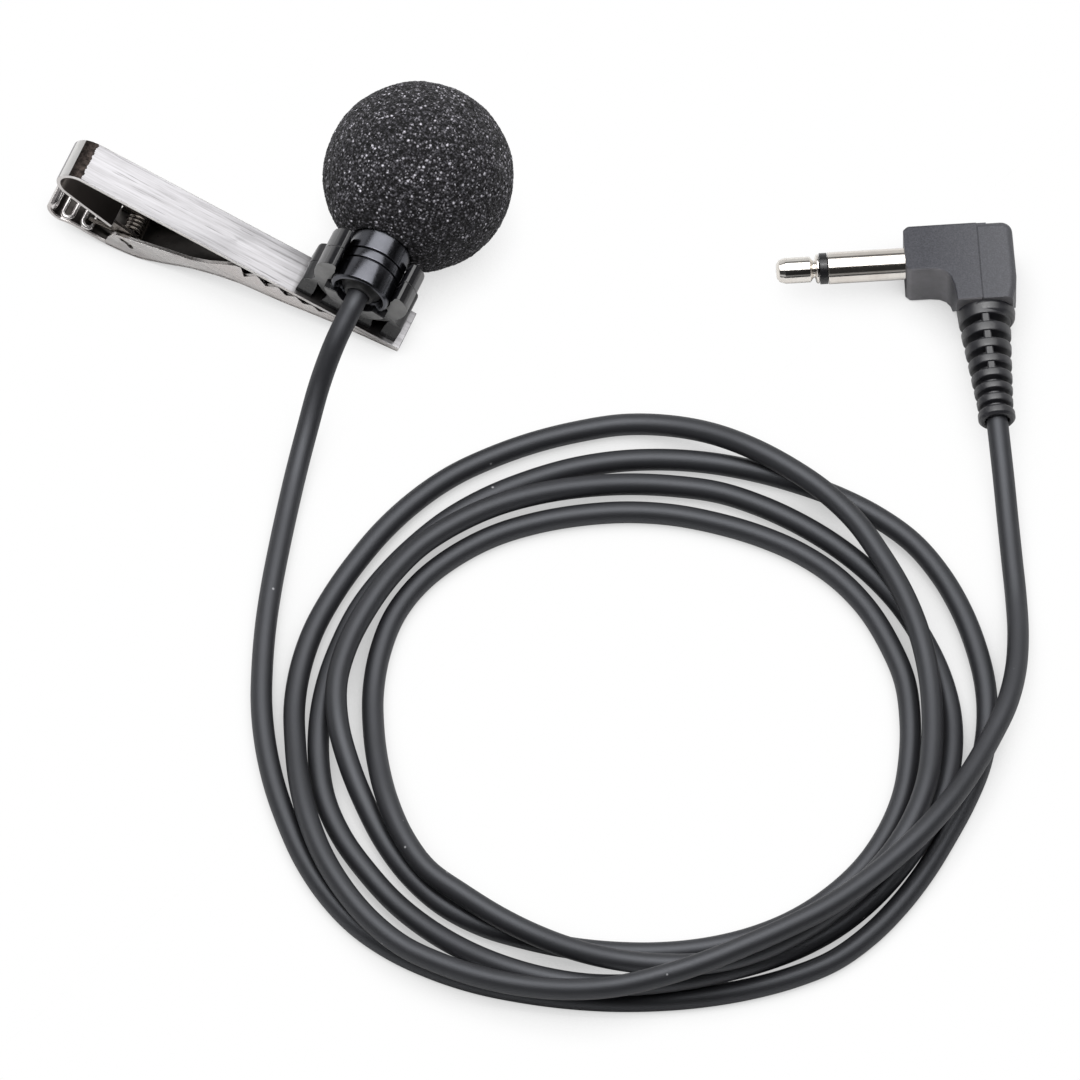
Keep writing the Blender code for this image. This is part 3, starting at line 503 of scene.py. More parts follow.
# key: name, colour, roughness, stretch, streak
for key, *values in (
    ("edge", "strip_edge", (0.70, 0.69, 0.68), 0.30, (0.5, 2.0, 0.5), 0.1),
    ("jaw", "jaw_brushed", (0.70, 0.68, 0.67), 0.26, (0.2, 2.6, 2.6), 0.2),
    # painted shade: dark steel for the sheet inside the jaw
    ("inside", "jaw_inside", (0.045, 0.042, 0.040), 0.30, (0.3, 2.0, 2.0), 0.3),
    ("ribs", "ribs_plated", (0.86, 0.85, 0.85), 0.20, (2.0, 0.3, 2.0), 0.15),
    ("spring", "spring_wire", (0.24, 0.22, 0.20), 0.20, (2, 2, 2), 0.3),
    ("pin", "pin_plated", (0.45, 0.44, 0.43), 0.25, (2, 2, 2), 0.3),
    ("plug", "plug_polished", (0.84, 0.81, 0.76), 0.09, (3.0, 3.0, 0.6), 0.08),
):
    LOOKS[key] = brushed(*values)


# ---------------------------------------------------------------- geometry helpers, in mm
# where a piece is drawn, the body it moves with, the CAD node it replaces and its material slot
Part = namedtuple("Part", "matrix body node slot", defaults=(None, None, None))


def linked(name, data):
    obj = bpy.data.objects.new(name, data)
    bpy.context.scene.collection.objects.link(obj)
    return obj


def claim(obj, part):
    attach(obj, part.body)
    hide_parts(part.node)


def shade(obj, angle=35):
    obj.data.shade_smooth()
    obj.data.set_sharp_from_angle(angle=math.radians(angle))


def piece(name, verts, faces, part, look, angle=35):
    mesh = bpy.data.meshes.new(name)
    mesh.from_pydata([tuple(c * MM for c in v) for v in verts], [], faces)
    work = bmesh.new()
    work.from_mesh(mesh)
    bmesh.ops.remove_doubles(work, verts=work.verts, dist=1e-8)
    bmesh.ops.recalc_face_normals(work, faces=work.faces)
    work.to_mesh(mesh)
    work.free()
    obj = linked(name, mesh)
    obj.matrix_world = part.matrix
    mesh.materials.append(LOOKS[look])
    shade(obj, angle)
    if part.body:
        claim(obj, part)
    return obj


def rounded(points, radius, closed=False, steps=4):
    """The polyline with its corners replaced by curves of about the given radius."""
    made = []
    count = len(points)
    for i, point in enumerate(points):
        if not closed and i in (0, count - 1):
            made.append(tuple(point))
            continue
        corner = Vector(point)
        back, on = Vector(points[i - 1]) - corner, Vector(points[(i + 1) % count]) - corner
        if back.length < 1e-9 or on.length < 1e-9:
            continue
        turn = math.pi - back.angle(on)
        if turn < 0.2:
            made.append(tuple(corner))
            continue
        cut = min(radius * math.tan(turn / 2), back.length * 0.45, on.length * 0.45)
        start, stop = corner + back / back.length * cut, corner + on / on.length * cut
        for k in range(steps + 1):
            t = k / steps
            made.append(tuple((1 - t) ** 2 * start + 2 * t * (1 - t) * corner + t * t * stop))
    return made


def lathe(name, profile, part, look, axis="Y", segments=72, angle=35, closed=False):
    """Turned about an axis. profile: (radius, along). closed joins its ends: a ring or tube."""
    verts, faces = [], []
    count = len(profile)
    for i in range(segments):
        turn = 2 * math.pi * i / segments
        for radius, along in profile:
            across, up = radius * math.cos(turn), radius * math.sin(turn)
            verts.append({
                "X": (along, across, up), "Y": (across, along, up), "Z": (across, up, along),
            }[axis])
    for i in range(segments):
        here, beside = i * count, (i + 1) % segments * count
        for k in range(count if closed else count - 1):
            after = (k + 1) % count
            faces.append((here + k, beside + k, beside + after, here + after))
    return piece(name, verts, faces, part, look, angle)


def soften(obj, width, segments=3, limit=35):
    made = obj.modifiers.new("edges", "BEVEL")
    made.width = width * MM
    made.segments = segments
    made.limit_method = "ANGLE"
    made.angle_limit = math.radians(limit)
    made.harden_normals = True
    made.use_clamp_overlap = True


def prism(name, outline, low, high, part, look, bevel=0.0, segments=3, limit=35, plane="XZ"):
    """A closed outline in the XZ or XY plane, thick from low to high, its edges eased."""
    count = len(outline)
    if plane == "XZ":
        verts = [(x, y, z) for y in (low, high) for x, z in outline]
    else:
        verts = [(x, y, z) for z in (low, high) for x, y in outline]
    faces = [tuple(range(count)), tuple(range(2 * count - 1, count - 1, -1))]
    for i in range(count):
        after = (i + 1) % count
        faces.append((i, i + count, after + count, after))
    obj = piece(name, verts, faces, part, look)
    if bevel:
        soften(obj, bevel, segments, limit)
    return obj


def trim(obj, point, normal):
    """Cuts away what lies beyond the plane, and closes the cut."""
    work = bmesh.new()
    work.from_mesh(obj.data)
    everything = work.verts[:] + work.edges[:] + work.faces[:]
    made = bmesh.ops.bisect_plane(
        work, geom=everything, plane_co=Vector(point) * MM, plane_no=normal, clear_outer=True)
    edges = [e for e in made["geom_cut"] if isinstance(e, bmesh.types.BMEdge)]
    bmesh.ops.contextual_create(work, geom=edges)
    bmesh.ops.recalc_face_normals(work, faces=work.faces)
    work.to_mesh(obj.data)
    work.free()


def ease_rim(obj, half, seam):
    """Rounds the rims of a block at z = +-half, more where they are well out to +X or +Y, and
    only barely the edges along the seam."""
    work = bmesh.new()
    work.from_mesh(obj.data)

    def sharp(edge):
        return edge.calc_face_angle(0) > 0.5

    def on_seam(edge):
        return all(abs(v.co.x / MM - seam) < 0.1 for v in edge.verts)

    def on_rim(edge):
        return all(abs(abs(v.co.z) / MM - half) < 1e-3 for v in edge.verts)

    def outlying(edge):
        middle = (edge.verts[0].co + edge.verts[1].co) / (2 * MM)
        return middle.x > 11.2 or middle.y > 1.5

    def bevel(edges, width, segments):
        bmesh.ops.bevel(work, geom=edges, offset=width * MM, segments=segments, profile=0.5,
                        affect="EDGES", clamp_overlap=True)

    rim = [e for e in work.edges if on_rim(e) and not on_seam(e) and sharp(e)]
    generous = [e for e in rim if outlying(e)]
    slight = [e for e in rim if not outlying(e)]
    for edges, width in ((generous, 0.8), (slight, 0.26)):
        edges = [e for e in edges if e.is_valid]
        if edges:
            bevel(edges, width, segments=5)
    bevel([e for e in work.edges if on_seam(e) and sharp(e)], 0.06, segments=2)
    work.to_mesh(obj.data)
    work.free()
    shade(obj, 40)
    flatter = obj.modifiers.new("normals", "WEIGHTED_NORMAL")
    flatter.weight = 90
    flatter.keep_sharp = True


def bake(obj):
    """The object's modifiers made real, then shaded by angle."""
    bpy.context.view_layer.update()
    graph = bpy.context.evaluated_depsgraph_get()
    mesh = bpy.data.meshes.new_from_object(obj.evaluated_get(graph))
    obj.modifiers.clear()
    obj.data = mesh
    shade(obj)


def tube(name, path, radius, part, look, sides=12):
    """A round capped tube along a path, its rings carried along so it doesn't twist."""
    path = [Vector(p) for p in path]
    last = len(path) - 1
    tangents = [(path[min(last, i + 1)] - path[max(0, i - 1)]).normalized()
                for i in range(len(path))]
    up = UP if abs(tangents[0].z) < 0.9 else Vector((1, 0, 0))
    side = tangents[0].cross(up).normalized()
    verts, faces = [], []
    for point, tangent in zip(path, tangents):
        side = (side - tangent * side.dot(tangent)).normalized()
        other = tangent.cross(side)
        for k in range(sides):
            turn = 2 * math.pi * k / sides
            verts.append(tuple(
                point + side * (radius * math.cos(turn)) + other * (radius * math.sin(turn))))
    for i in range(last):
        here, beyond = i * sides, (i + 1) * sides
        for k in range(sides):
            after = (k + 1) % sides
            faces.append((here + k, beyond + k, beyond + after, here + after))
    faces.append(tuple(range(sides)))
    faces.append(tuple(last * sides + k for k in range(sides - 1, -1, -1)))
    return piece(name, verts, faces, part, look, angle=50)


def catmull(points, per):
    """A smooth curve through the points, with per steps from each to the next."""
    points = [Vector(p) for p in points]
    ends = [2 * points[0] - points[1]] + points + [2 * points[-1] - points[-2]]
    made = []
    for i in range(1, len(ends) - 2):
        before, here, after, beyond = ends[i - 1 : i + 3]
        for j in range(per):
            t = j / per
            made.append(0.5 * (
                2 * here + (after - before) * t
                + (2 * before - 5 * here + 4 * after - beyond) * t * t
                + (3 * here - before - 3 * after + beyond) * t**3))
    made.append(points[-1])
    return made


def arc(centre, radius, start, stop, count):
    """count + 1 points from start to stop degrees."""
    made = []
    for i in range(count + 1):
        turn = math.radians(start + (stop - start) * i / count)
        made.append((centre[0] + radius * math.cos(turn), centre[1] + radius * math.sin(turn)))
    return made


def offset(path, by):
    """The open path moved sideways, to its left for a positive distance."""
    made = []
    for i, point in enumerate(path):
        here = Vector(point)
        before = (here - Vector(path[i - 1])).normalized() if i else None
        after = (Vector(path[i + 1]) - here).normalized() if i < len(path) - 1 else None
        before = before or after
        after = after or before
        way = (before + after).normalized()
        reach = by / max(0.5, way.dot(after))
        made.append((here.x - way.y * reach, here.y + way.x * reach))
    return made


def band(path, thickness):
    """The closed outline of a strip with the path as its middle."""
    return offset(path, thickness / 2) + offset(path, -thickness / 2)[::-1]


# ---------------------------------------------------------------- foam ball
BALL_RADIUS = 10.5
BALL_Y = 13.4  # its centre along the barrel
BALL_MOUTH = 3.5  # radius of the barrel's hole in its back
MOUTH_DEPTH_Y = -6.2  # bottom of the hole, from the ball's centre


def foam_ball():
    mesh = bpy.data.meshes.new("foam_ball")
    work = bmesh.new()
    bmesh.ops.create_icosphere(work, subdivisions=7, radius=BALL_RADIUS)
    work.to_mesh(mesh)
    work.free()
    points = np.empty(len(mesh.vertices) * 3)
    mesh.vertices.foreach_get("co", points)
    points = points.reshape(-1, 3)
    pitted = np.empty_like(points)
    for i, point in enumerate(points):
        cell_point = Vector(point) / 0.62  # cell size of the foam
        distances, _ = noise.voronoi(cell_point)
        pit = min(1.0, (distances[1] - distances[0]) * 1.9)
        fine = noise.noise(cell_point * 2.3)
        lump = noise.noise(Vector(point) / 3.5)
        depth = -0.16 * pit + 0.07 * fine + 0.10 * lump - 0.02
        pitted[i] = point + np.array(Vector(point).normalized()) * depth
    # the points of the barrel's hole go in along the bore
    from_axis = np.hypot(pitted[:, 0], pitted[:, 2])
    back = (pitted[:, 1] < 0) & (from_axis < BALL_MOUTH - 0.1)
    pitted[back, 1] = MOUTH_DEPTH_Y
    mesh.vertices.foreach_set("co", (pitted * MM).reshape(-1))
    mesh.update()
    obj = linked("foam_ball", mesh)
    obj.matrix_world = MIC @ Matrix.Translation((0, BALL_Y * MM, 0))
    mesh.materials.append(LOOKS["foam"])
    mesh.shade_smooth()
    claim(obj, Part(obj.matrix_world, "foam", "foam_windscreen", "foam"))


foam_ball()

# ---------------------------------------------------------------- barrel
BARREL_R = 3.4
BARREL_BORE_R = 3.0
# name, replaced node, slot, look, corner radius, profile of (radius, y)
BARREL_RINGS = (
    ("barrel_front", "mic_front_sleeve", "satin_black", "barrel", 0.12,
     [(BARREL_BORE_R, 12.9), (BARREL_R, 12.9), (BARREL_R, 1.24), (BARREL_BORE_R, 1.24)]),
    ("barrel_trim", "trim_ring", "satin_black", "barrel", 0.1,
     [(BARREL_BORE_R, 1.08), (BARREL_R, 1.08), (BARREL_R, 0.0), (BARREL_BORE_R, 0.0)]),
    ("barrel_rear", "rear_shell", "satin_black", "barrel", 0.1,
     [(2.95, 3.0), (2.95, -0.16), (BARREL_R, -0.16), (BARREL_R, -2.75), (3.2, -2.98),
      (2.95, -3.0), (2.85, -2.85), (2.4, -2.2), (2.35, -1.8), (2.6, -1.8), (2.6, 3.0)]),
    ("barrel_grommet", "cable_grommet", "soft_black", "grommet", 0.1,
     [(2.3, -1.6), (2.3, -2.2), (1.9, -2.5), (1.6, -3.0), (1.45, -3.1), (1.24, -3.0),
      (1.24, -1.6)]),
)
for name, node, slot, look, corner, profile in BARREL_RINGS:
    lathe(name, rounded(profile, corner, closed=True), Part(MIC, "core", node, slot), look,
          closed=True)

# ---------------------------------------------------------------- cradle
CRADLE_R = 5.6
CRADLE_GRIP_R = 3.5
CRADLE_RELIEVED_R = 4.0  # inside radius between the places that grip the barrel


def cradle():
    part = Part(MIC, "clip_arm", "mic_holder", "gloss_black")
    # the +X half as (x, z): the foot, up the outside, over the arm and down the inside
    half = (
        [(3.1, -7.15), (3.05, -6.2), (2.85, -5.3)]
        + arc((0, 0), CRADLE_R, -59, -37, 6)
        + [(4.35, -3.75), (4.25, -5.2), (4.25, -7.15), (6.15, -7.15), (6.15, -4.3),
           (6.0, -3.75), (5.7, -3.4), (5.3, -3.1), (5.12, -2.75)]
        + arc((0, 0), CRADLE_R, -26, 2, 8)
        + [(5.5, 0.9), (5.2, 1.5), (4.7, 1.95), (4.15, 2.25), (3.8, 2.2), (3.6, 1.85),
           (3.55, 1.2)]
        + arc((0, 0), CRADLE_GRIP_R, 12, -16, 6)
        + arc((0, 0), CRADLE_RELIEVED_R, -21, -64, 10)
        + arc((0, 0), CRADLE_GRIP_R, -70, -90, 4)
    )
    outline = half + [(-x, z) for x, z in half[:-1][::-1]]
    # two halves with a fine groove between them, and a slightly smaller core behind the groove
    for name, low, high in (("cradle_rear", -2.3, 0.08), ("cradle_front", 0.12, 2.5)):
        prism(name, outline, low, high, part, "cradle", bevel=0.13, limit=32)
    core = [(x * 0.985, z * 0.985 - 0.06) for x, z in outline]
    prism("cradle_core", core, -0.2, 0.3, part, "cradle")
    # the lip that stops the barrel sliding out backwards
    lip = arc((0, 0), 4.05, -158, -22, 18) + arc((0, 0), 2.55, -30, -150, 16)
    prism("cradle_lip", lip, -3.3, -2.2, part, "cradle", bevel=0.1, limit=40)


cradle()

# ---------------------------------------------------------------- clip: upper arm
CLIP_Y = -0.3  # middle of the arm's width
CLIP_HALF_WIDTH = 2.45
CLIP_TIP_X = 6.96
BEND = (-32.4, -9.65)  # centre of the bend: x, z
BEND_R = 2.2
STRIP_Z = BEND[1] + BEND_R


def upper_arm():
    part = Part(MIC, "clip_arm", "upper_arm", "nickel")
    # middle line (x, z) from the tip, round the bend and back under towards the pin
    middle = (
        [(CLIP_TIP_X, STRIP_Z), (-5, STRIP_Z), (-18, STRIP_Z)]
        + arc(BEND, BEND_R, 90, 240, 30)
        + [(-31.0, -12.42), (-28.9, -13.08), (-27.0, -13.68)]
    )
    prism("arm_strip", band(middle, 0.5), CLIP_Y - CLIP_HALF_WIDTH, CLIP_Y + CLIP_HALF_WIDTH,
          part, "strip", bevel=0.07, segments=2, limit=50)
    # bright cut edges
    for i, side in enumerate((-1, 1)):
        low, high = sorted((CLIP_Y + side * 2.40, CLIP_Y + side * 2.46))
        prism("arm_edge_%d" % (i + 1), band(middle, 0.44), low, high, part, "edge",
              bevel=0.02, segments=2, limit=50)
    # lugs round the pin, painted shade: they wear the darker spring-wire colour, not the strip's
    # own
    lug = [(-27.9, -13.45), (-25.6, -13.95)] + arc(PIN, 1.25, 60, -170, 20) + [(-27.3, -14.2)]
    for i, side in enumerate((-1, 1)):
        prism("arm_lug_%d" % (i + 1), lug, CLIP_Y + side * 1.45, CLIP_Y + side * 1.85,
              part, "spring", bevel=0.05, segments=2)


upper_arm()

# ---------------------------------------------------------------- pin and spring
PIN_R = 0.43
PIN_HALF = 2.3
COIL_TURNS = 4.5
COIL_STEPS = 28  # per turn
COIL_HALF = 1.1  # half its length along the pin


def pin_and_spring():
    profile = rounded([(0, PIN_HALF), (PIN_R, PIN_HALF), (PIN_R, -PIN_HALF), (0, -PIN_HALF)], 0.08)
    lathe("clip_pin", profile, Part(JAW, "clip_arm", "hinge_pin", "spring_steel"), "pin",
          segments=32)
    spring = Part(JAW, "clip_arm", "torsion_spring", "spring_steel")
    coil = []
    for i in range(int(COIL_TURNS * COIL_STEPS) + 1):
        turn = math.radians(90) - 2 * math.pi * i / COIL_STEPS
        y = COIL_HALF - 2 * COIL_HALF * i / (COIL_TURNS * COIL_STEPS)
        coil.append((math.cos(turn), y, math.sin(turn)))
    # (x, y, z) of the leg that runs to the upper arm, then of the one that runs to the jaw
    arm_leg = [(-6.0, COIL_HALF, 2.33), (-3.2, COIL_HALF, 1.5), (-1.4, COIL_HALF, 1.0),
               (-0.5, COIL_HALF, 0.99)]
    jaw_leg = [coil[-1], (-0.6, -COIL_HALF, -1.0), (-1.6, -COIL_HALF, -1.05),
               (-4.9, -COIL_HALF, -1.46)]
    tube("spring_coil", catmull(arm_leg, 5)[:-1] + coil, 0.225, spring, "spring")
    tube("spring_leg", catmull(jaw_leg, 6), 0.22, spring._replace(body="jaw"), "spring")


pin_and_spring()

# ---------------------------------------------------------------- clip: lower jaw
JAW_WALL = 0.45
JAW_PART = Part(JAW, "jaw", "lower_jaw", "nickel")
# outlines as (x, z) in MIC: the underside from the tip to the far end past the pin
JAW_UNDER = [
    (CLIP_TIP_X, -7.98), (-0.87, -9.14), (-6.8, -10.5), (-11.6, -11.3), (-14.3, -12.25),
    (-17.2, -13.7), (-20.0, -15.7), (-22.8, -17.4), (-26.5, -18.0), (-30.6, -17.85),
    (-32.4, -18.2), (-33.6, -17.7), (-34.2, -16.6), (-34.1, -15.6),
]
# the flange's upper edge, from past the pin to where the teeth begin
JAW_TOP = [
    (-26.75, -17.3), (-26.7, -16.2), (-26.35, -15.25), (-26.0, -15.0), (-23.7, -14.2),
    (-20.8, -13.06), (-17.7, -11.9), (-15.8, -10.56), (-14.1, -8.9),
]
JAW_TEETH = [
    (-13.2, -8.15), (-12.5, -7.9), (-11.7, -9.45), (-10.5, -7.85), (-9.1, -9.0), (-7.9, -7.83),
    (-6.7, -8.7), (-5.7, -7.83), (-4.6, -8.45), (-3.6, -7.83), (-2.6, -8.3), (-1.8, -7.83),
    (CLIP_TIP_X, -7.80),
]
# the opening beside the pin, as (x, z) in JAW
FLANGE_HOLE = [
    (-0.95, 0.42), (-0.35, 0.42), (0.35, 0.28), (0.75, -0.05), (0.85, -0.45), (0.62, -0.62),
    (0.3, -0.42), (-0.1, -0.12), (-0.7, 0.0), (-1.0, 0.15),
]
RIB_PITCH = 1.22
RIB_R = 0.29
RIB_END_Y = 1.95  # the ribs' ends on the +Y side
RIB_TURN_Y = -1.5  # where they begin to curve into the U


def about_pin(points):
    return [(x - PIN[0], z - PIN[1]) for x, z in points]


def jaw_flanges():
    flange = about_pin(JAW_UNDER[:9] + JAW_TOP + JAW_TEETH)
    for i, side in enumerate((-1, 1)):
        low, high = sorted((side * (CLIP_HALF_WIDTH - JAW_WALL), side * CLIP_HALF_WIDTH))
        obj = prism("jaw_flange_%d" % (i + 1), flange, low, high, JAW_PART, "jaw")
        cutter = prism("cutter", FLANGE_HOLE, low - 1, high + 1, Part(JAW), "jaw")
        cut = obj.modifiers.new("hole", "BOOLEAN")
        cut.object = cutter
        cut.operation = "DIFFERENCE"
        cut.solver = "EXACT"
        bake(obj)
        bpy.data.objects.remove(cutter)
        soften(obj, 0.06, segments=2, limit=50)


def jaw_floor():
    """The floor and a thin dark sheet just inside it towards the pin, painted shade. Gives back
    the floor's middle line.
    """
    inner = offset(JAW_UNDER, -JAW_WALL)
    path = [tuple((Vector(a) + Vector(b)) / 2) for a, b in zip(JAW_UNDER, inner)]
    smooth = [(p.x, p.y) for p in catmull([(x, z, 0) for x, z in path], 6)]
    prism("jaw_floor", about_pin(band(smooth, JAW_WALL)), -CLIP_HALF_WIDTH, CLIP_HALF_WIDTH,
          JAW_PART, "jaw", bevel=0.05, segments=2, limit=60)
    # painted shade: a dark sheet laid just inside the floor, from x -8 to the pin end
    painted_shade_path = [p for p in offset(smooth, -0.245) if p[0] < -8]
    prism("jaw_painted_shade_sheet", about_pin(band(painted_shade_path, 0.05)), -2.2, 2.2, JAW_PART, "inside")
    return smooth


def jaw_ribs(floor_line):
    """Ribs across the floor past the pin, in pairs joined in a U at the -Y end."""
    run = [p for p in offset(floor_line, -0.30) if p[0] < -26.9]
    lengths = [0.0]
    for here, after in zip(run, run[1:]):
        lengths.append(lengths[-1] + math.dist(here, after))

    def on_run(s):
        j = next((i for i in range(1, len(lengths)) if lengths[i] >= s), len(lengths) - 1)
        t = (s - lengths[j - 1]) / (lengths[j] - lengths[j - 1])
        return Vector(run[j - 1]).lerp(Vector(run[j]), t)

    count = int((lengths[-1] - 0.2) / RIB_PITCH)
    for k in range(count):
        s = lengths[-1] - 0.35 - RIB_PITCH * k
        spots = [(on_run(s), y) for y in np.linspace(RIB_END_Y, RIB_TURN_Y, 8)]
        if k % 2 == 0 and k < count - 1:
            for degrees in range(15, 180, 15):
                turn = math.radians(degrees)
                share = (1 - math.cos(turn)) / 2
                spots.append((on_run(s - RIB_PITCH * share), RIB_TURN_Y - 0.55 * math.sin(turn)))
            spots += [(on_run(s - RIB_PITCH), y) for y in np.linspace(RIB_TURN_Y, -0.9, 3)]
        path = [(p.x - PIN[0], y, p.y - PIN[1]) for p, y in spots]
        tube("jaw_rib_%02d" % k, path, RIB_R, JAW_PART, "ribs")


jaw_flanges()
jaw_ribs(jaw_floor())


# ---------------------------------------------------------------- cable
def cable():
    line = [p / MM for p in cable_line]
    head = [line[0] + (line[1] - line[0]) * t for t in (0, 0.5)]
    tail = [line[-2] + (line[-1] - line[-2]) * t for t in (0.5, 1)]
    path = head + catmull(line[1:-1], 7) + tail
    part = Part(Matrix.Identity(4), "core", "cable_jacket", "cable_black")
    tube("cable_run", path, 1.2, part, "cable", sides=20)


cable()

# ---------------------------------------------------------------- plug: contacts
# profiles as (radius, x)
PLUG_TIP = [
    (0, -14.1), (0.75, -14.05), (1.2, -13.75), (1.42, -13.1), (1.42, -10.35), (0.95, -10.0),
    (0.95, -9.85), (1.45, -9.72), (1.6, -9.6), (1.6, -9.38), (0.55, -9.38), (0.55, PLUG_TAIL),
    (0, PLUG_TAIL),
]
PLUG_RING = [(0.62, -9.3), (1.72, -9.3), (1.72, -8.45), (1.2, -8.45), (1.2, 1.5), (0.62, 1.5)]
PLUG_SLEEVE = [(1.27, -8.38), (1.75, -8.38), (1.75, 0.35), (2.4, 0.35), (2.4, 1.2), (1.27, 1.2)]

lathe("plug_pin_tip", rounded(PLUG_TIP, 0.12), Part(PLUG, "core", "plug_tip", "nickel"), "plug",
      axis="X", segments=64, angle=30)
lathe("plug_pin_ring", rounded(PLUG_RING, 0.06, closed=True),
      Part(PLUG, "core", "tip_insulator", "dark_plastic"), "insulator",
      axis="X", segments=64, closed=True)
lathe("plug_pin_sleeve", rounded(PLUG_SLEEVE, 0.06, closed=True),
      Part(PLUG, "core", "plug_sleeve", "nickel"), "plug", axis="X", segments=80, closed=True)

# ---------------------------------------------------------------- plug: moulded block
SEAM_X = 8.15  # the parting line
SEAM_HALF_GAP = 0.04
BLOCK_HALF = 3.4  # half the block's height
BLOCK_TOP_Y = 2.85
BLOCK_END_Y = -6.9  # the side the cable enters
CHAMFER_WAY = (0, -0.869, -0.494)  # outward direction of the slanting cut low on that side
BLOCK_PART = Part(PLUG, "core", "plug_overmould", "mould_black")


def mould_block():
    # outlines as (x, y): one half on each side of the parting line
    left = [
        (SEAM_X - SEAM_HALF_GAP, BLOCK_TOP_Y), (4.4, BLOCK_TOP_Y), (0.5, BLOCK_TOP_Y),
        (0.0, 2.35), (0.0, -2.35), (0.5, -2.85), (2.7, -2.85), (3.7, -2.98), (4.4, -3.35),
        (4.85, -3.95), (5.12, -4.9), (5.25, -5.9), (5.3, BLOCK_END_Y),
        (SEAM_X - SEAM_HALF_GAP, BLOCK_END_Y),
    ]
    right = (
        [(SEAM_X + SEAM_HALF_GAP, BLOCK_END_Y), (11.45, BLOCK_END_Y), (11.85, -5.6),
         (12.05, -4.0)]
        + arc((10.75, 1.6), 1.25, 0, 90, 8)
        + [(SEAM_X + SEAM_HALF_GAP, BLOCK_TOP_Y)]
    )
    for name, outline in (("mould_block_left", left), ("mould_block_right", right)):
        obj = prism(name, outline, -BLOCK_HALF, BLOCK_HALF, BLOCK_PART, "mould", plane="XY")
        trim(obj, (8.2, BLOCK_END_Y, 0.9), CHAMFER_WAY)
        ease_rim(obj, BLOCK_HALF, SEAM_X)
    # a slightly smaller core behind the parting line
    core = [(SEAM_X - 1, 2.7), (SEAM_X - 1, -6.75), (SEAM_X + 1, -6.75), (SEAM_X + 1, 2.7)]
    obj = prism("mould_block_core", core, -3.28, 3.28, BLOCK_PART, "mould", plane="XY")
    trim(obj, (8.2, -6.75, 1.0), CHAMFER_WAY)


mould_block()

# ---------------------------------------------------------------- plug: cable relief
RELIEF_BORE_R = 1.32
RELIEF_PART = BLOCK_PART._replace(matrix=RELIEF)
# outside of the relief: distance along it, radius
RELIEF_TAPER = ((-3.0, 3.0), (0, 2.98), (3.8, 2.68), (6.3, 2.45), (9.5, 2.2), (11.8, 2.0),
                (12.8, 1.94))
# slots round it: start, length
RELIEF_SLOTS = ((1.66, 0.85), (3.74, 0.78), (5.69, 0.75), (7.5, 0.68), (9.2, 0.58),
                (10.7, 0.54), (12.2, 0.5))


def relief_radius(s):
    return float(np.interp(s, *zip(*RELIEF_TAPER)))


def relief_sleeve():
    profile = [(RELIEF_BORE_R, -2.8), (relief_radius(-2.8), -2.8)]
    for start, length in RELIEF_SLOTS:
        end = start + length
        floor_r = max(1.34, relief_radius(end) - 1.25)
        profile += [(relief_radius(start), start - 0.04), (floor_r, start), (floor_r, end),
                    (relief_radius(end), end + 0.04)]
    # the collar at the cable's end
    profile += [(2.06, 12.95), (2.06, 13.6), (1.8, 13.9), (RELIEF_BORE_R, 13.9)]
    lathe("mould_relief", rounded(profile, 0.2, closed=True), RELIEF_PART, "relief", axis="Z",
          closed=True)


def relief_spines():
    """Spines that bridge the slots on the top and the underside."""
    stations = np.linspace(0.2, 8.9, 12)
    corners = 6
    for i, side in enumerate((1, -1)):
        verts, faces = [], []
        for s in stations:
            r = relief_radius(s) - 0.20
            # one cross-section: x, distance from the relief's axis
            section = ((-0.42, r - 1.3), (-0.42, r - 0.06), (-0.30, r + 0.04),
                       (0.30, r + 0.04), (0.42, r - 0.06), (0.42, r - 1.3))
            verts += [(x, side * y, s) for x, y in section]
        for k in range(len(stations) - 1):
            here, beyond = k * corners, (k + 1) * corners
            for j in range(corners):
                after = (j + 1) % corners
                faces.append((here + j, here + after, beyond + after, beyond + j))
        faces.append(tuple(range(corners)))
        faces.append(tuple(range(len(verts) - 1, len(verts) - corners - 1, -1)))
        piece("mould_spine_%d" % (i + 1), verts, faces, RELIEF_PART, "relief")


def relief_root():
    """The swelling where the relief meets the block, a little off the relief's axis."""
    swell = [(1.4, -0.9), (2.8, -0.9), (3.05, -0.3), (3.12, 0.4), (3.0, 1.1), (2.7, 1.5),
             (1.4, 1.5)]
    moved = RELIEF @ Matrix.Translation((0.36 * MM, -0.1 * MM, 0))
    lathe("mould_root", rounded(swell, 0.3, closed=True, steps=5),
          RELIEF_PART._replace(matrix=moved), "relief", axis="Z", closed=True)


relief_sleeve()
relief_spines()
relief_root()

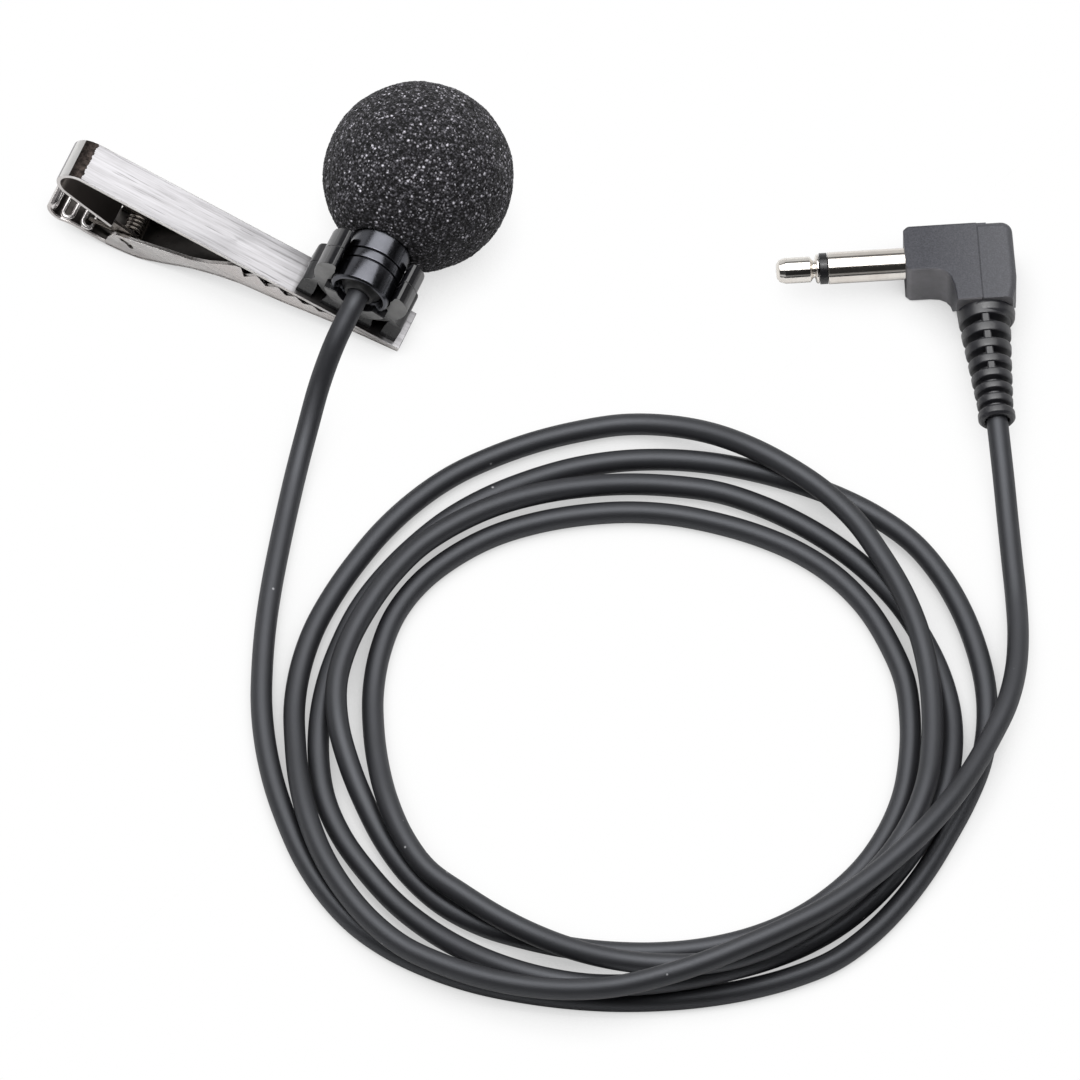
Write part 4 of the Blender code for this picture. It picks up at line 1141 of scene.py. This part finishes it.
# ---------------------------------------------------------------- hidden CAD nodes, own shapes
# material, nodes that wear it
INNER_LOOKS = (
    (plain("inner_black", (0.010, 0.010, 0.011), rough=0.28, grain=0.08, own=False),
     ("jfet", "rear_insulator")),
    (brushed("inner_steel", (0.45, 0.44, 0.43), 0.25, stretch=(2, 2, 2), streak=0.3, own=False),
     ("holder_rivet",)),
    (brushed("inner_drawn", (0.70, 0.70, 0.72), 0.3, stretch=(2, 2, 0.4), own=False),
     ("front_grille", "capsule_can")),
    (brushed("inner_brass", (0.78, 0.58, 0.28), 0.28, stretch=(1, 1, 1), own=False),
     ("back_plate", "tip_terminal", "ground_terminal")),
    (brushed("inner_copper", (0.80, 0.42, 0.26), 0.32, stretch=(1, 1, 1), own=False),
     ("mic_signal_wire", "mic_shield_wire", "plug_signal_wire", "plug_shield_wire")),
    (brushed("inner_film", (0.72, 0.72, 0.74), 0.18, stretch=(1, 1, 1), streak=0.1, own=False),
     ("diaphragm",)),
    (plain("inner_natural", (0.74, 0.74, 0.70), rough=0.5, own=False),
     ("spacer_ring", "plate_holder")),
    (plain("inner_laminate", (0.05, 0.2, 0.1), rough=0.5, grain=0.5, own=False),
     ("capsule_board",)),
    (plain("inner_felt", (0.02, 0.02, 0.022), rough=0.95, grain=1.0, grain_scale=12, own=False),
     ("dust_felt",)),
)
for material, names in INNER_LOOKS:
    for name in names:
        slots = frame["nodes"][name].data.materials
        if slots:
            for i in range(len(slots)):
                slots[i] = material
        else:
            slots.append(material)


# ---------------------------------------------------------------- floor
FLOOR_HALF = 3.0  # metres
FLOOR_Z = -0.00002
CONTACT_REACH = 0.007  # metres, how far contact shadows spread


def floor_material():
    graph = new_material("floor_pale", own=False)
    speck = graph.noise(graph.coords(), scale=0.05, detail=3)
    material = graph.finish({
        "Base Color": graph.ramp(speck, (0.3, 0.62), (0.7, 0.66)),
        "Roughness": 0.9,
        "Specular IOR Level": 0.0,
    })
    # the camera sees through it to the white world, with only soft contact shadows
    seen = graph.node("LightPath").outputs["Is Camera Ray"]
    contact = graph.node("AmbientOcclusion", {"Distance": CONTACT_REACH}, samples=12)
    shadow = graph.ramp(contact.outputs["AO"], (0.22, 0.50), (0.50, 0.84), (0.78, 1.0))
    clear = graph.node("BsdfTransparent", {"Color": shadow})
    choice = graph.node("MixShader", {0: seen, 1: graph.shader.outputs[0], 2: clear.outputs[0]})
    graph.fill(graph.output, {0: choice.outputs[0]})
    return material


def floor():
    material = floor_material()
    mesh = bpy.data.meshes.new("floor")
    corners = [(x * FLOOR_HALF, y * FLOOR_HALF, FLOOR_Z)
               for x, y in ((-1, -1), (1, -1), (1, 1), (-1, 1))]
    mesh.from_pydata(corners, [], [(0, 1, 2, 3)])
    obj = linked("floor", mesh)
    mesh.materials.append(material)
    obj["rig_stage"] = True


floor()


# ---------------------------------------------------------------- lights and world
def area_light(name, at, size, radiance):
    """A rectangular light, in metres, that shines straight down."""
    data = bpy.data.lights.new(name, "AREA")
    data.shape = "RECTANGLE"
    data.size, data.size_y = size
    data.energy = radiance * math.pi * size[0] * size[1]
    obj = linked(name, data)
    obj.location = Vector(at)
    below = Vector((at[0], at[1], 0))
    obj.rotation_mode = "QUATERNION"
    obj.rotation_quaternion = (below - Vector(at)).to_track_quat("-Z", "Y")


area_light("softbox", at=(0.0, 0.12, 0.65), size=(1.1, 0.80), radiance=2.5)
area_light("softbox_core", at=(-0.02, 0.06, 0.64), size=(0.42, 0.10), radiance=9.0)


def studio():
    """Pale low down, dark above that, and a paler wall on the +Y side. White to the camera."""
    world = bpy.data.worlds.new("studio")
    bpy.context.scene.world = world
    world.use_nodes = True
    graph = Graph(world)
    way = graph.split(graph.node("TexCoord").outputs["Generated"])
    room = graph.ramp(way["Z"], (0.0, 0.60), (0.20, 0.55), (0.32, 0.05), (0.85, 0.05), (0.95, 0.3))
    wall = graph.ramp(way["Z"], (0.0, 0.70), (0.52, 0.65), (0.58, 0.10), (0.68, 0.10), (0.76, 0.5))
    behind = graph.ramp(way["Y"], (0.20, 0.0), (0.42, 1.0))
    # the room is dimmer towards +X
    side = graph.ramp(graph.share(way["X"], start=-1.0, length=2.0), (0.35, 1.0), (0.55, 0.35))
    light = graph.mixed(behind, graph.blend("MULTIPLY", room, side), wall)
    seen = graph.node("LightPath").outputs["Is Camera Ray"]
    colour = graph.mixed(seen, light, 1.0)
    graph.fill(world.node_tree.nodes["Background"], {"Color": colour, "Strength": 1.0})


studio()

# ---------------------------------------------------------------- camera
BARREL_FROM_AIM = Vector((-18.69, 27.60, 10.55))  # mm, the barrel's place from the aimed spot
VIEW_RISE = math.radians(60)
VIEW_DISTANCE = 5.0  # metres


def camera():
    data = bpy.data.cameras.new("camera")
    data.type = "PERSP"
    data.sensor_width = 36
    data.lens = 1523.5
    data.clip_start, data.clip_end = 0.05, 10
    obj = linked("camera", data)
    back = Vector((0, -math.cos(VIEW_RISE), math.sin(VIEW_RISE)))
    obj.location = barrel_at - BARREL_FROM_AIM * MM + back * VIEW_DISTANCE
    obj.rotation_mode = "QUATERNION"
    obj.rotation_quaternion = (-back).to_track_quat("-Z", "Y")
    bpy.context.scene.camera = obj


camera()
bpy.context.scene.view_settings.view_transform = "Standard"


# ---------------------------------------------------------------- meshes made final
def strip_inside(face):
    """1 on the strip's underside and on the inside of its bend, where strip_material paints shade.
    """
    heart = Vector((-30.5, 0, -10.2)) * MM
    toward = heart - face.center
    toward.y = 0
    near = face.center.x * 1000 < -20 and abs(face.normal.y) < 0.5
    below = face.normal.z < -0.7 and face.center.z * 1000 > -8.5
    return 1.0 if below or near and face.normal.dot(toward.normalized()) > 0.15 else 0.0


def mark_faces(mesh, value_of):
    marks = mesh.attributes.new("painted_shading_faces", "FLOAT", "FACE")
    marks.data.foreach_set("value", [value_of(face) for face in mesh.polygons])


def finalise():
    """Applies modifiers, stores each point's place in its own frame, and moves to the world."""
    bpy.context.view_layer.update()
    graph = bpy.context.evaluated_depsgraph_get()
    final = []
    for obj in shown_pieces():
        if "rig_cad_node" in obj:
            continue
        mesh = obj.data
        if obj.modifiers:
            mesh = bpy.data.meshes.new_from_object(obj.evaluated_get(graph))
        final.append((obj, mesh))
    for obj, mesh in final:
        if obj.modifiers:
            obj.modifiers.clear()
            obj.data = mesh
        local = np.empty(len(mesh.vertices) * 3, np.float32)
        mesh.vertices.foreach_get("co", local)
        own = mesh.attributes.new("own", "FLOAT_VECTOR", "POINT")
        own.data.foreach_set("vector", local * 1000)
        # painted light: marks the cradle's end faces, which cradle_material paints paler
        if obj.name.startswith("cradle"):
            mark_faces(mesh, lambda face: 1.0 if abs(face.normal.y) > 0.9 else 0.0)
        # painted shade: marks the strip's underside and inside of its bend, which strip_material
        # paints dark
        if obj.name == "arm_strip":
            mark_faces(mesh, strip_inside)
        mesh.transform(obj.matrix_world)
        obj.matrix_world = Matrix.Identity(4)
        mesh.update()


finalise()
